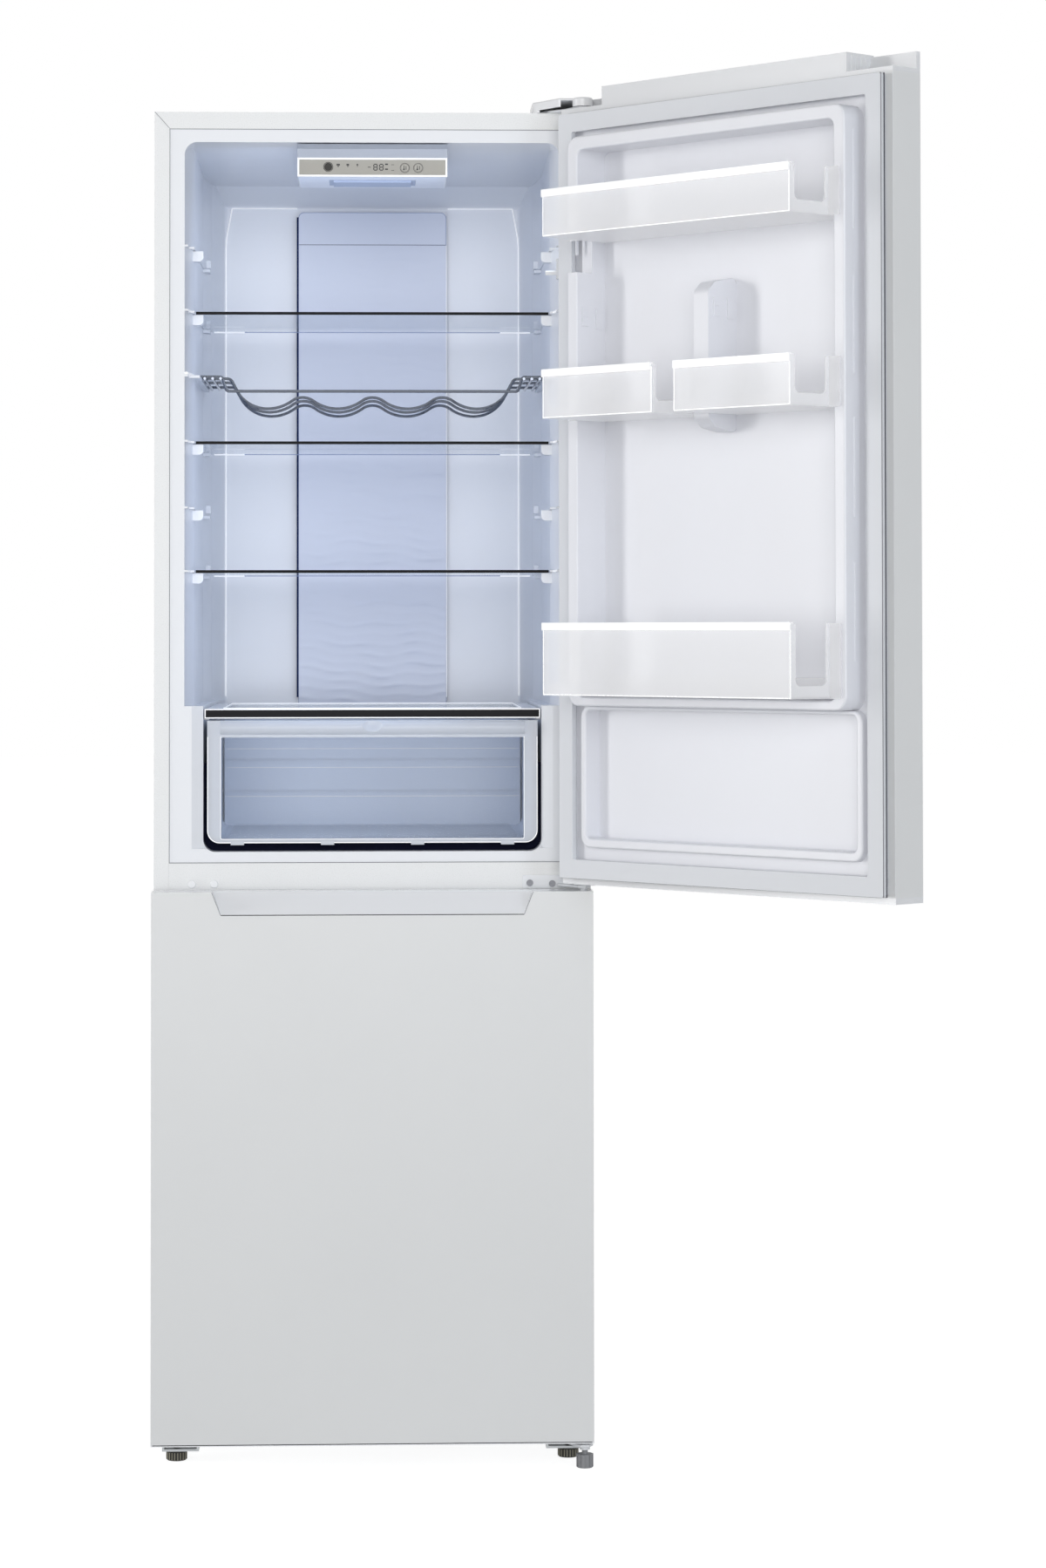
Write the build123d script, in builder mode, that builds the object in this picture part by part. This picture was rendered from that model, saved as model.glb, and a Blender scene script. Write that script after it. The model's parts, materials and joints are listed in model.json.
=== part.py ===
"""Bottom freezer refrigerator with its upper door open.

Millimetres. X runs to the right, Y to the back and Z up. The origin is on the floor below
the middle of the cabinet's front face. The doors are drawn as if closed, each in a frame of
its own, and the upper door's frame is turned about its hinge to the open rest pose.
"""
import os
from math import cos, radians, sin

from build123d import *

os.makedirs("parts", exist_ok=True)

# ---------------------------------------------------------------- driving sizes
WIDTH = 595.0            # cabinet and doors
DEPTH = 575.0            # cabinet without doors
TOP = 1838.0             # cabinet's steel top
BASE = 40.0              # underside of the cabinet
SPLIT = 782.0            # middle of the gap between the doors
SHEET = 1.0              # steel sheet
SKIN = 1.5               # plastic liners
FIT = 0.3                # gap of pieces that rest on each other but can move
SLIT = 0.5               # gap between foam slabs
RUN = 0.05               # radial clearance of pins and stems

HALF = WIDTH / 2
INSIDE = HALF - SHEET

# Cabinet front: steel flange, then the liner's flange, then the openings.
FLANGE = HALF - 20.5     # inner edge of the steel flange
FLANGE_TOP = TOP - 23
TUCK = 8.0               # liner flange hidden behind the steel
MULLION = (SPLIT - 36, SPLIT + 31)
FLOOR = MULLION[1] + 14.7
SHELF0 = FLOOR + 198.3   # step above the crisper recess
ROOF = TOP - 41
ROOF_BACK = ROOF - 12
BACK = DEPTH - 93
ROOF_STEP = (BACK - 42, ROOF - 39)
OPENING = HALF - 41
WALLS = [(OPENING, 0.0), (OPENING - 10.5, 75.0), (OPENING - 11, BACK - 142),
         (OPENING - 20.5, BACK - 57), (OPENING - 37.5, BACK)]
RECESS = OPENING - 25.5
LOW_WALLS = [(RECESS, 0.0), (RECESS - 3, BACK - 57), (OPENING - 37.5, BACK)]
MOUTH_DEPTH = 10.0       # bevel in front of the crisper recess
BACK_ROUND = 6.0         # rounded edges round the liner's back wall

# Freezer compartment
F_HALF = HALF - 61.5
F_FLOOR, F_ROOF, F_BACK = BASE + 55, MULLION[0] - 1, BACK - 42
F_WALLS = [(F_HALF, 0.0), (F_HALF - 7, F_BACK)]
F_STEP = (F_BACK - 150, 300.0)  # depth and height of the step over the compressor
ROOM_TOP = F_STEP[1] - 45       # compressor room

# Doors, as if closed
DOOR_FRONT, DOOR_BACK = -66.7, -14.6
PIN_X, PIN_Y, PIN_R = HALF - 11.5, -43.6, 5.0
OPEN_DEG = 131.4
FRIDGE_DOOR = (SPLIT + 5, TOP - 9)
CAP_TOP = TOP - 3
BLOCK_TOP, LIP_TOP, LIP_TOP_HINGE = TOP + 22, TOP + 19, TOP + 14
BLOCK_HALF = HALF - 77.5
FREEZER_DOOR = (BASE - 4, SPLIT - 5)
CAP_IN = 14.0            # how far a cap reaches into the door
GRIP_HALF, GRIP_SPREAD, GRIP_RISE = HALF - 93.5, 12.0, 30.5
SEAL_HALF, SEAL_WIDE = HALF - 8.5, 25.0
FRIDGE_SEAL = (FRIDGE_DOOR[0] + 9, TOP - 12)
FREEZER_SEAL = (BASE + 30, SPLIT - 14)

# Fridge interior; levels are shares of the room's height above the crisper
ROOM = ROOF - SHELF0
SHELVES = (SHELF0 + 0.239 * ROOM, SHELF0 + 0.4695 * ROOM, SHELF0 + 0.7017 * ROOM)
SPARE_LEVELS = (SHELF0 + 0.3515 * ROOM, SHELF0 + 0.8158 * ROOM)
GLASS = 4.0
SHELF_HALF, SHELF_FRONT, SHELF_BACK = OPENING - 13, 60.0, BACK - 90
SHELF_CUT = (10.0, 52.0)  # clipped rear corners of the glass, across and along
RACK_Z, WIRE = SHELF0 + 0.5914 * ROOM, 2.0
RACK_HALF = OPENING - 16.5
DRAWER_HALF, DRAWER_Z = RECESS - 5.5, (FLOOR + 11.3, SHELF0 - 20)
COVER_Z = (SHELF0 - 17, SHELF0 - 4)

# Rings of the door liner: outer half, recess half, outer and inner heights, face depth, radius
DIKE = 22.7
UPPER = (HALF - 48.5, HALF - 67.5, (SHELF0 + 2, TOP - 48), (SHELF0 + 14, TOP - 66), DIKE, 10.0)
LOWER = (HALF - 45.5, HALF - 55.5, (FRIDGE_DOOR[0] + 51, SHELF0 + 1.5),
         (FRIDGE_DOOR[0] + 63, SHELF0 - 4), -4.0, 8.0)
F_RING = (F_HALF + 16, F_HALF, (F_FLOOR + 2, F_ROOF - 6), (F_FLOOR + 14, F_ROOF - 18), -4.0, 10.0)

# Door bins: height range of each, then left and right ends
BIN_HALF, BIN_FRONT, BIN_BACK, BIN_WALL = HALF - 72, 94.5, -27.0, 2.2
RIB_HALF = 13.0
MIDDLE_LOW = UPPER[3][0] + 0.504 * (UPPER[3][1] - UPPER[3][0])
MIDDLE = (MIDDLE_LOW, MIDDLE_LOW + 63.5)
BINS = {
    "bin_top": (TOP - 188, TOP - 127, -BIN_HALF, BIN_HALF),
    "bin_middle_left": (*MIDDLE, RIB_HALF + 4, BIN_HALF),
    "bin_middle_right": (*MIDDLE, -BIN_HALF, -RIB_HALF - 4),
    "bin_bottom": (UPPER[3][0] + 3, UPPER[3][0] + 97.5, -BIN_HALF, BIN_HALF),
}

c, s = cos(radians(OPEN_DEG)), sin(radians(OPEN_DEG))
DOOR = Plane(
    origin=(PIN_X - c * PIN_X + s * PIN_Y, PIN_Y - s * PIN_X - c * PIN_Y, 0),
    x_dir=(c, s, 0),
    z_dir=(0, 0, 1),
)


# ---------------------------------------------------------------- helpers
def level(z):
    """Flat plane at height z; extrusions run upwards."""
    return Plane.XY.offset(z)


def front(y):
    """Upright plane at depth y; extrusions run towards the front."""
    return Plane(origin=(0, y, 0), x_dir=(1, 0, 0), z_dir=(0, -1, 0))


def side(x):
    """Upright plane at width x; extrusions run towards +x."""
    return Plane(origin=(x, 0, 0), x_dir=(0, 1, 0), z_dir=(1, 0, 0))


def block(x, y, z, mode=Mode.ADD):
    """Box between two limits on each axis."""
    with Locations(((x[0] + x[1]) / 2, (y[0] + y[1]) / 2, (z[0] + z[1]) / 2)):
        Box(x[1] - x[0], y[1] - y[0], z[1] - z[0], mode=mode)


def prism(plane, points, depth, mode=Mode.ADD, both=False, r=0.0):
    """Polygon on a plane, pushed out along its normal."""
    with BuildSketch(plane) as sk:
        with BuildLine():
            Polyline(*points, close=True)
        make_face()
        if r:
            fillet(sk.vertices(), r)
    extrude(sk.sketch, amount=depth, both=both, mode=mode)


def plate(plane, x, z, depth, r=0.0, mode=Mode.ADD):
    """Rectangle with rounded corners on a plane, pushed out along its normal."""
    with BuildSketch(plane) as sk:
        with Locations(((x[0] + x[1]) / 2, (z[0] + z[1]) / 2)):
            if r:
                RectangleRounded(x[1] - x[0], z[1] - z[0], r)
            else:
                Rectangle(x[1] - x[0], z[1] - z[0])
    extrude(sk.sketch, amount=depth, mode=mode)


def disc(plane, spots, r, depth, mode=Mode.ADD):
    """Round bars at the given spots of a plane, pushed out along its normal."""
    with BuildSketch(plane) as sk:
        with Locations(*spots):
            Circle(r)
    extrude(sk.sketch, amount=depth, mode=mode)


def right_wall(walls, grow):
    """Plan points of a compartment's right wall, moved outwards."""
    return [(x + grow, y) for x, y in walls[:-1]] + [(walls[-1][0] + grow, walls[-1][1] + grow)]


def both_sides(walls, grow):
    """Plan outline of a compartment, closed across the front and back."""
    right = right_wall(walls, grow)
    return right + [(-x, y) for x, y in reversed(right)]


def save(builder, name, frame=Plane.XY):
    """Write one part's file, carried from its own frame to where it stands."""
    part = builder.part.moved(frame.location)
    part.label = name
    export_step(part, f"parts/{name}.step")


# ---------------------------------------------------------------- cabinet shell
with BuildPart() as outer_wrapper:
    block((-HALF, HALF), (0, DEPTH), (BASE, TOP))
    block((-INSIDE, INSIDE), (SHEET, DEPTH + 1), (BASE - 1, TOP - SHEET), Mode.SUBTRACT)
    block((-FLANGE, FLANGE), (-1, SHEET * 2), (BASE - 1, FLANGE_TOP), Mode.SUBTRACT)
    # mitre line of the folded corners
    for m in (-1, 1):
        prism(
            front(0.4),
            [(m * FLANGE, FLANGE_TOP), (m * HALF, TOP - 0.5), (m * HALF, TOP),
             (m * (HALF - 0.5), TOP), (m * (FLANGE - 0.5), FLANGE_TOP)],
            0.4,
            mode=Mode.SUBTRACT,
        )
save(outer_wrapper, "outer_wrapper")

with BuildPart() as rear_panels:
    block((-INSIDE, INSIDE), (DEPTH - 1.2, DEPTH), (ROOM_TOP + 4, TOP - SHEET))
    for x in (-180, -60, 60, 180):
        block((x - 20, x + 20), (DEPTH, DEPTH + 3), (F_STEP[1] + 120, TOP - 138))
    # vented cover of the compressor room, a separate sheet
    block((27.5 - HALF, HALF - 27.5), (DEPTH - 1.2, DEPTH), (BASE + 14, ROOM_TOP + 2))
    with BuildSketch(front(DEPTH + 1)):
        with Locations((0, (BASE + ROOM_TOP) / 2)):
            with GridLocations(180, 25, 3, 7):
                Rectangle(140, 8)
    extrude(amount=3, mode=Mode.SUBTRACT)
save(rear_panels, "rear_panels")

FOOT_X, FOOT_Y, FOOT_R = HALF - 30.5, 30.0, 14.0
FOOT_Z = (0.0, 13.0)
STEM_R = 4.0
ROLLER_X, ROLLER_Y, ROLLER_R = HALF - 42.5, DEPTH - 40, 16.0
with BuildPart() as base_plate:
    block((-INSIDE, INSIDE), (2.6, DEPTH - 1.4), (BASE, BASE + 2))
    for m in (-1, 1):
        # channel that carries the front foot
        x = m * (FOOT_X - 6)
        block((x - 25, x + 25), (FOOT_Y - 22, FOOT_Y + 26), (15, BASE))
        block((x - 22, x + 22), (FOOT_Y - 25, FOOT_Y + 30), (18, BASE + 0.5), Mode.SUBTRACT)
        with Locations((m * FOOT_X, FOOT_Y, 16)):
            Cylinder(STEM_R + RUN, 10, mode=Mode.SUBTRACT)
        # fork and axle of the rear roller
        for x in (m * ROLLER_X - 13, m * ROLLER_X + 11):
            block((x, x + 2), (ROLLER_Y - 14, ROLLER_Y + 14), (10, BASE))
        disc(side(m * ROLLER_X - 15), [(ROLLER_Y, ROLLER_R)], 3, 30)
save(base_plate, "base_plate")

with BuildPart() as rear_rollers:
    for m in (-1, 1):
        disc(side(m * ROLLER_X - 10), [(ROLLER_Y, ROLLER_R)], ROLLER_R, 20)
        disc(side(m * ROLLER_X - 11), [(ROLLER_Y, ROLLER_R)], 3 + RUN, 22, mode=Mode.SUBTRACT)
save(rear_rollers, "rear_rollers")


# ---------------------------------------------------------------- liners
def fridge_space(grow, y0):
    """Room inside the fridge compartment, or the liner's outside when grown."""
    with BuildPart() as upper:
        prism(level(SHELF0 - grow), both_sides(WALLS, grow), ROOF - SHELF0 + 2 * grow)
        prism(
            side(0),
            [(y0, SHELF0 - grow), (y0, ROOF + grow), (ROOF_STEP[0], ROOF_BACK + grow),
             (BACK + grow, ROOF_STEP[1] + grow), (BACK + grow, SHELF0 - grow)],
            HALF, both=True, mode=Mode.INTERSECT,
        )
        plate(front(BACK + 5), (-OPENING - grow, OPENING + grow), (SHELF0 - 100, ROOF + grow),
              BACK + 20, r=18 + grow, mode=Mode.INTERSECT)
        corners = upper.edges().filter_by(Axis.Z).group_by(Axis.Y)[-1]
        corners.append(upper.edges().filter_by(Axis.X).group_by(Axis.Y)[-1].sort_by(Axis.Z)[-1])
        fillet(corners, BACK_ROUND + grow)
    with BuildPart() as lower:
        prism(level(FLOOR - grow), both_sides(LOW_WALLS, grow), SHELF0 - FLOOR + 2 * grow)
        plate(front(BACK + 5), (-RECESS - grow, RECESS + grow), (FLOOR - grow, SHELF0 + 100),
              BACK + 20, r=17 + grow, mode=Mode.INTERSECT)
        fillet(lower.edges().filter_by(Axis.Z).group_by(Axis.Y)[-1], BACK_ROUND + grow)
        for m in (-1, 1):
            prism(
                level(FLOOR + 4 - grow),
                [(m * (OPENING + grow), y0), (m * (RECESS - 0.1 + grow), MOUTH_DEPTH + grow),
                 (m * (RECESS - 31), y0)],
                SHELF0 - FLOOR - 4 + grow,
            )
        prism(
            side(0),
            [(y0, FLOOR - grow), (y0, SHELF0 + 1), (BACK + grow, SHELF0 + 1),
             (BACK + grow, FLOOR - grow)],
            HALF, both=True, mode=Mode.INTERSECT,
        )
        add(upper.part)
    return lower.part


def wall_bar(m, inner, y, z):
    """Bar along a side wall, from the given half width to beyond the wall."""
    lo, hi = sorted((m * inner, m * (OPENING + 5)))
    block((lo, hi), y, z)


def support_lug(m, under):
    """Rounded lug below a shelf's front, drawn out of the side wall."""
    inner, outer = m * (SHELF_HALF - LUG_REACH), m * (OPENING + 5)
    with BuildSketch(front(LUG_Y[1])) as section:
        with BuildLine():
            Polyline((outer, under - LUG_HIGH), (outer, under), (inner, under),
                     (inner, under - LUG_HIGH), close=True)
        make_face()
        low_corners = section.vertices().group_by(Axis.Y)[0].sort_by(Axis.X)
        fillet(low_corners[0 if m > 0 else -1], LUG_ROUND)
    extrude(section.sketch, amount=LUG_Y[1] - LUG_Y[0])


RIB_START = DIKE + 12    # ribs start behind the closed door's dikes
LUG_REACH, LUG_HIGH, LUG_ROUND, LUG_Y = 10.0, 14.0, 6.0, (62.0, 84.0)
REAR_LUG = 8.0           # reach of the rear supports under the glass
fridge_inner = fridge_space(0.0, -5.0)
fridge_outer = fridge_space(SKIN, SHEET)
with BuildPart() as ledges:
    for z in SHELVES + SPARE_LEVELS:
        under = z - GLASS / 2 - FIT
        over = z + GLASS / 2 + FIT
        for m in (-1, 1):
            # thin guide beside the glass, lug at its front, rest and hold-down at its back
            wall_bar(m, SHELF_HALF + 0.8, (RIB_START, BACK - 92), (z - 1.3, z + 1.3))
            wall_bar(m, OPENING - 4.5, (SHEET, RIB_START), (z - 1.3, z + 1.3))
            support_lug(m, under)
            wall_bar(m, SHELF_HALF - REAR_LUG, (BACK - 142, BACK - 110), (under - 4, under))
            wall_bar(m, SHELF_HALF - REAR_LUG, (BACK - 112, BACK - 86), (over, over + 11))
    for m in (-1, 1):
        wall_bar(m, RACK_HALF - 3, (RIB_START, BACK - 110), (RACK_Z - WIRE - 4, RACK_Z - WIRE - FIT))
        wall_bar(m, OPENING - 4.5, (SHEET, RIB_START), (RACK_Z - WIRE - 4, RACK_Z - WIRE - FIT))
        wall_bar(m, RECESS - 7, (32, BACK - 62), (COVER_Z[0] - 2.4, COVER_Z[0] - FIT))
        # runner under the crisper tub
        x = m * (RECESS - 26)
        block((x - 4, x + 4), (32, BACK - 62), (FLOOR - 1, DRAWER_Z[0] + 2 - FIT))
    add(fridge_space(SKIN / 2, SHEET), mode=Mode.INTERSECT)
SWITCH_Z = (TOP - 227, TOP - 200)
with BuildPart() as fridge_liner:
    block((-FLANGE - TUCK, FLANGE + TUCK), (SHEET, SHEET + SKIN), (MULLION[1] + 0.3, FLANGE_TOP + TUCK))
    add(fridge_outer)
    add(fridge_inner, mode=Mode.SUBTRACT)
    add(ledges.part)
    # seat of the lamp switch
    block((OPENING - 9, OPENING + 2.5), (3.7, 19.4), (SWITCH_Z[0] - FIT, SWITCH_Z[1] + FIT),
          Mode.SUBTRACT)
save(fridge_liner, "fridge_liner")


def freezer_space(grow, y0):
    with BuildPart() as room:
        prism(level(F_FLOOR - grow), both_sides(F_WALLS, grow), F_ROOF - F_FLOOR + 2 * grow)
        prism(
            side(0),
            [(y0, F_FLOOR - grow), (y0, F_ROOF + grow), (F_BACK + grow, F_ROOF + grow),
             (F_BACK + grow, F_STEP[1] - grow), (F_STEP[0] + grow, F_STEP[1] - grow),
             (F_STEP[0] + grow, F_FLOOR - grow)],
            HALF, both=True, mode=Mode.INTERSECT,
        )
    return room.part


TIER = (F_ROOF - F_STEP[1] - 9) / 2
DRAWER_TIERS = (
    (F_FLOOR + 5, F_STEP[1] - 4, F_STEP[0] - 10),
    (F_STEP[1] + 6, F_STEP[1] + TIER, F_BACK - 52),
    (F_STEP[1] + TIER + 8, F_ROOF - 7, F_BACK - 52),
)
with BuildPart() as tiers:
    for z0, z1, y1 in DRAWER_TIERS:
        for m in (-1, 1):
            block((m * F_HALF - 12, m * F_HALF + 4), (SHEET + SKIN, y1), (z0 - 5, z0 - FIT))
    add(freezer_space(SKIN / 2, SHEET), mode=Mode.INTERSECT)
with BuildPart() as freezer_liner:
    block((-FLANGE - TUCK, FLANGE + TUCK), (SHEET, SHEET + SKIN), (BASE + 2.2, MULLION[1] - 0.3))
    add(freezer_space(SKIN, SHEET))
    add(freezer_space(0.0, -5.0), mode=Mode.SUBTRACT)
    add(tiers.part)
save(freezer_liner, "freezer_liner")

PLUGS = [(-OPENING + 10.6, SPLIT + 2), (-OPENING + 41, SPLIT + 2)]
with BuildPart() as mullion_cover:
    block((-FLANGE + 0.2, FLANGE - 0.2), (0, SHEET), MULLION)
    block((-FLANGE + 0.2, FLANGE - 0.2), (0, SHEET), (BASE, F_FLOOR - 2))
    disc(front(2), PLUGS, 3 + RUN, 4, mode=Mode.SUBTRACT)
save(mullion_cover, "mullion_cover")

with BuildPart() as hole_plugs:
    disc(front(0), PLUGS, 5.5, 1.6)
    chamfer(hole_plugs.edges().filter_by(GeomType.CIRCLE).sort_by(Axis.Y)[:2], 0.8)
    disc(front(SHEET), PLUGS, 3, 1.2)
save(hole_plugs, "hole_plugs")

# Foam, as slabs that stand just clear of each other
with BuildPart() as insulation_foam:
    y_in = SHEET + SKIN
    upper, lower = right_wall(WALLS, SKIN + 0.1), right_wall(LOW_WALLS, SKIN + 0.1)
    for m in (-1, 1):
        for k, top in enumerate((ROOF_BACK, ROOF_BACK, ROOF_BACK, ROOF_STEP[1] - 1)):
            (xa, ya), (xb, yb) = upper[k], upper[k + 1]
            prism(
                level(SHELF0 - SKIN + SLIT),
                [(m * xa, max(ya, y_in) + SLIT), (m * xb, yb), (m * INSIDE, yb),
                 (m * INSIDE, max(ya, y_in) + SLIT)],
                top - SHELF0,
            )
        for k in (0, 1):
            (xa, ya), (xb, yb) = lower[k], lower[k + 1]
            ya = MOUTH_DEPTH + 3 if k == 0 else ya
            prism(
                level(FLOOR - SKIN),
                [(m * xa, ya + SLIT), (m * xb, yb), (m * INSIDE, yb), (m * INSIDE, ya + SLIT)],
                SHELF0 - FLOOR - SLIT,
            )
        xa, xb = F_WALLS[0][0] + SKIN + 0.1, F_WALLS[1][0] + SKIN + 0.1
        prism(
            level(BASE + 2),
            [(m * xa, y_in), (m * xb, F_BACK), (m * INSIDE, F_BACK), (m * INSIDE, y_in)],
            F_ROOF - BASE - 2,
        )
    prism(side(0), [(y_in, ROOF + SKIN), (ROOF_STEP[0], ROOF_BACK + SKIN),
                          (ROOF_STEP[0], TOP - SHEET), (y_in, TOP - SHEET)], INSIDE, both=True)
    y2 = ROOF_STEP[0] + SLIT
    prism(side(0), [(y2, ROOF_BACK + SKIN), (BACK + SKIN, ROOF_STEP[1] + SKIN),
                          (BACK + SKIN, TOP - SHEET), (y2, TOP - SHEET)], INSIDE, both=True)
    block((-INSIDE, INSIDE), (BACK + SKIN + SLIT, DEPTH - 1.2), (FLOOR - SKIN, TOP - SHEET))
    block((-INSIDE, INSIDE), (y_in, F_BACK + SKIN), (F_ROOF + SKIN, FLOOR - SKIN - SLIT))
    block((-INSIDE, INSIDE), (F_BACK + SKIN + SLIT, DEPTH - 1.2), (ROOM_TOP, FLOOR - SKIN - SLIT))
    half = F_HALF - 7
    block((-half, half), (F_STEP[0] + 45 + SLIT, F_BACK + SKIN), (ROOM_TOP, F_STEP[1] - SKIN))
    block((-half, half), (F_STEP[0] + SKIN, F_STEP[0] + 45), (BASE + 2, F_STEP[1] - SKIN))
    block((-half, half), (y_in, F_STEP[0] + SKIN - SLIT), (BASE + 2, F_FLOOR - SKIN))
    block((OPENING - 6, OPENING + 14), (SHEET, 22), (SWITCH_Z[0] - 5, SWITCH_Z[1] + 5), Mode.SUBTRACT)
save(insulation_foam, "insulation_foam")

# ---------------------------------------------------------------- duct, panel, lamp
DUCT_HALF, DUCT_FRONT = 109.5, BACK - 16
DUCT_SEAM, DUCT_TOP = ROOF - 96, ROOF - 48
with BuildPart() as duct_panel:
    deep = BACK - FIT - DUCT_FRONT
    plate(front(BACK - FIT), (-DUCT_HALF, DUCT_HALF), (FLOOR + 2, DUCT_SEAM - 0.4), deep)
    plate(front(BACK - FIT), (-DUCT_HALF, DUCT_HALF), (DUCT_SEAM + 0.4, DUCT_TOP), deep)
    fillet(duct_panel.edges().filter_by(Axis.Y).group_by(Axis.Z)[-1], 8)
    # air outlets in both flanks, under each shelf
    for z in SHELVES:
        for m in (-1, 1):
            x = m * DUCT_HALF
            block((x - 8, x + 8), (DUCT_FRONT + 4, BACK - 5), (z - 90, z - 64), Mode.SUBTRACT)
save(duct_panel, "duct_panel")

PANEL_HALF, PANEL_Y, PANEL_DEEP = 103.0, 28.0, 170.0
PANEL_Z = (ROOF - 44, ROOF - 18)
FACE_HALF, FACE_Z = 100.5, (PANEL_Z[0] + 2.6, PANEL_Z[1] - 2.6)
BUTTONS = {
    "button_boost": (-60.8, FACE_Z[0] + 10.9),
    "button_fridge": (44.5, FACE_Z[0] + 9.8),
    "button_freezer": (62.9, FACE_Z[0] + 9.8),
}
BUTTON_R, BUTTON_PROUD = 5.2, 0.8
ROOF_AT_PANEL = ROOF - 6
LENS_HALF, LENS_Y = 60.0, (70.0, 140.0)
with BuildPart() as control_housing:
    block((-PANEL_HALF, PANEL_HALF), (PANEL_Y, PANEL_DEEP), (PANEL_Z[0], ROOF_AT_PANEL))
    prism(side(0), [(PANEL_Y, ROOF_AT_PANEL), (PANEL_Y, ROOF - 1.5), (PANEL_DEEP, ROOF_AT_PANEL)],
          PANEL_HALF, both=True)
    fillet(control_housing.edges().filter_by(Axis.Y).group_by(Axis.Z)[0], 3)
    block((-PANEL_HALF + 3, PANEL_HALF - 3), (PANEL_Y + 8, PANEL_DEEP - 10),
          (PANEL_Z[0] + 3, ROOF_AT_PANEL - 3), Mode.SUBTRACT)
    block((-FACE_HALF, FACE_HALF), (PANEL_Y - 1, PANEL_Y + 2.5), FACE_Z, Mode.SUBTRACT)
    block((-FACE_HALF + 6, FACE_HALF - 6), (PANEL_Y, PANEL_Y + 9), (FACE_Z[0] + 2.4, FACE_Z[1] - 2.4),
          Mode.SUBTRACT)
    block((-LENS_HALF, LENS_HALF), LENS_Y, (PANEL_Z[0] - 1, PANEL_Z[0] + 4), Mode.SUBTRACT)
save(control_housing, "control_housing")

with BuildPart() as control_face:
    block((-FACE_HALF + 0.1, FACE_HALF - 0.1), (PANEL_Y + 0.7, PANEL_Y + 2.5),
          (FACE_Z[0] + 0.1, FACE_Z[1] - 0.1))
    disc(front(PANEL_Y + 4), list(BUTTONS.values()), BUTTON_R + 0.3, 5, mode=Mode.SUBTRACT)
save(control_face, "control_face")

for name, spot in BUTTONS.items():
    with BuildPart() as button:
        disc(front(PANEL_Y + 3.4), [spot], BUTTON_R, 3.4 - 0.7 + BUTTON_PROUD)
        disc(front(PANEL_Y + 2.5 + FIT + 1), [spot], BUTTON_R + 1.6, 1.0)
    save(button, name)

with BuildPart() as lamp_lens:
    y0, y1 = LENS_Y
    block((0.2 - LENS_HALF, LENS_HALF - 0.2), (y0 + 0.2, y1 - 0.2), (PANEL_Z[0], PANEL_Z[0] + 3))
    block((6 - LENS_HALF, LENS_HALF - 6), (y0 + 6, y1 - 6), (PANEL_Z[0] - 2.5, PANEL_Z[0]))
    block((-LENS_HALF - 3, LENS_HALF + 3), (y0 - 3, y1 + 3), (PANEL_Z[0] + 3, PANEL_Z[0] + 4.5))
save(lamp_lens, "lamp_lens")

with BuildPart() as door_switch:
    block((OPENING - 19.5, OPENING - 3.5), (5, 10), (SWITCH_Z[0] + 5, SWITCH_Z[0] + 11))
    block((OPENING - 4.5, OPENING + 2), (4, 16), SWITCH_Z)
save(door_switch, "door_switch")

# ---------------------------------------------------------------- shelves, rack, crisper
for n, z in enumerate(reversed(SHELVES), start=1):
    with BuildPart() as shelf:
        plate(level(z - GLASS / 2), (-SHELF_HALF, SHELF_HALF), (SHELF_FRONT, SHELF_BACK), GLASS)
        for m in (-1, 1):
            x, y = m * SHELF_HALF, SHELF_BACK
            prism(level(z - GLASS), [(x, y - SHELF_CUT[1]), (x, y), (x - m * SHELF_CUT[0], y)],
                  2 * GLASS, Mode.SUBTRACT)
    save(shelf, f"shelf_glass_{n}")

WIRE_SIDES = 8           # the bent wires are octagonal, to keep their faces few
WAVE_LOW, PITCH, SLOPE = RACK_Z - 42, 0.4083 * RACK_HALF, 36.0
TROUGH_HALF = 0.347 * PITCH
TROUGH_R = TROUGH_HALF / sin(radians(SLOPE))
CREST_R = (PITCH / 2 - TROUGH_HALF) / sin(radians(SLOPE))
CREST = WAVE_LOW + (TROUGH_R + CREST_R) * (1 - cos(radians(SLOPE)))
END_R, END_SLOPE, BEND_R = 50.0, 65.0, 8.0


def dip(cx, r, deg):
    """Point on a trough's circle, deg from its lowest point."""
    return (cx + r * sin(radians(deg)), WAVE_LOW + r - r * cos(radians(deg)))


def crest(cx, deg):
    return (cx + CREST_R * sin(radians(deg)), CREST - CREST_R + CREST_R * cos(radians(deg)))


def bend(x, deg):
    """Point on the left bend up to the rack's rim, whose top is at x."""
    return (x + BEND_R * sin(radians(deg)), RACK_Z - BEND_R + BEND_R * cos(radians(deg)))


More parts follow.
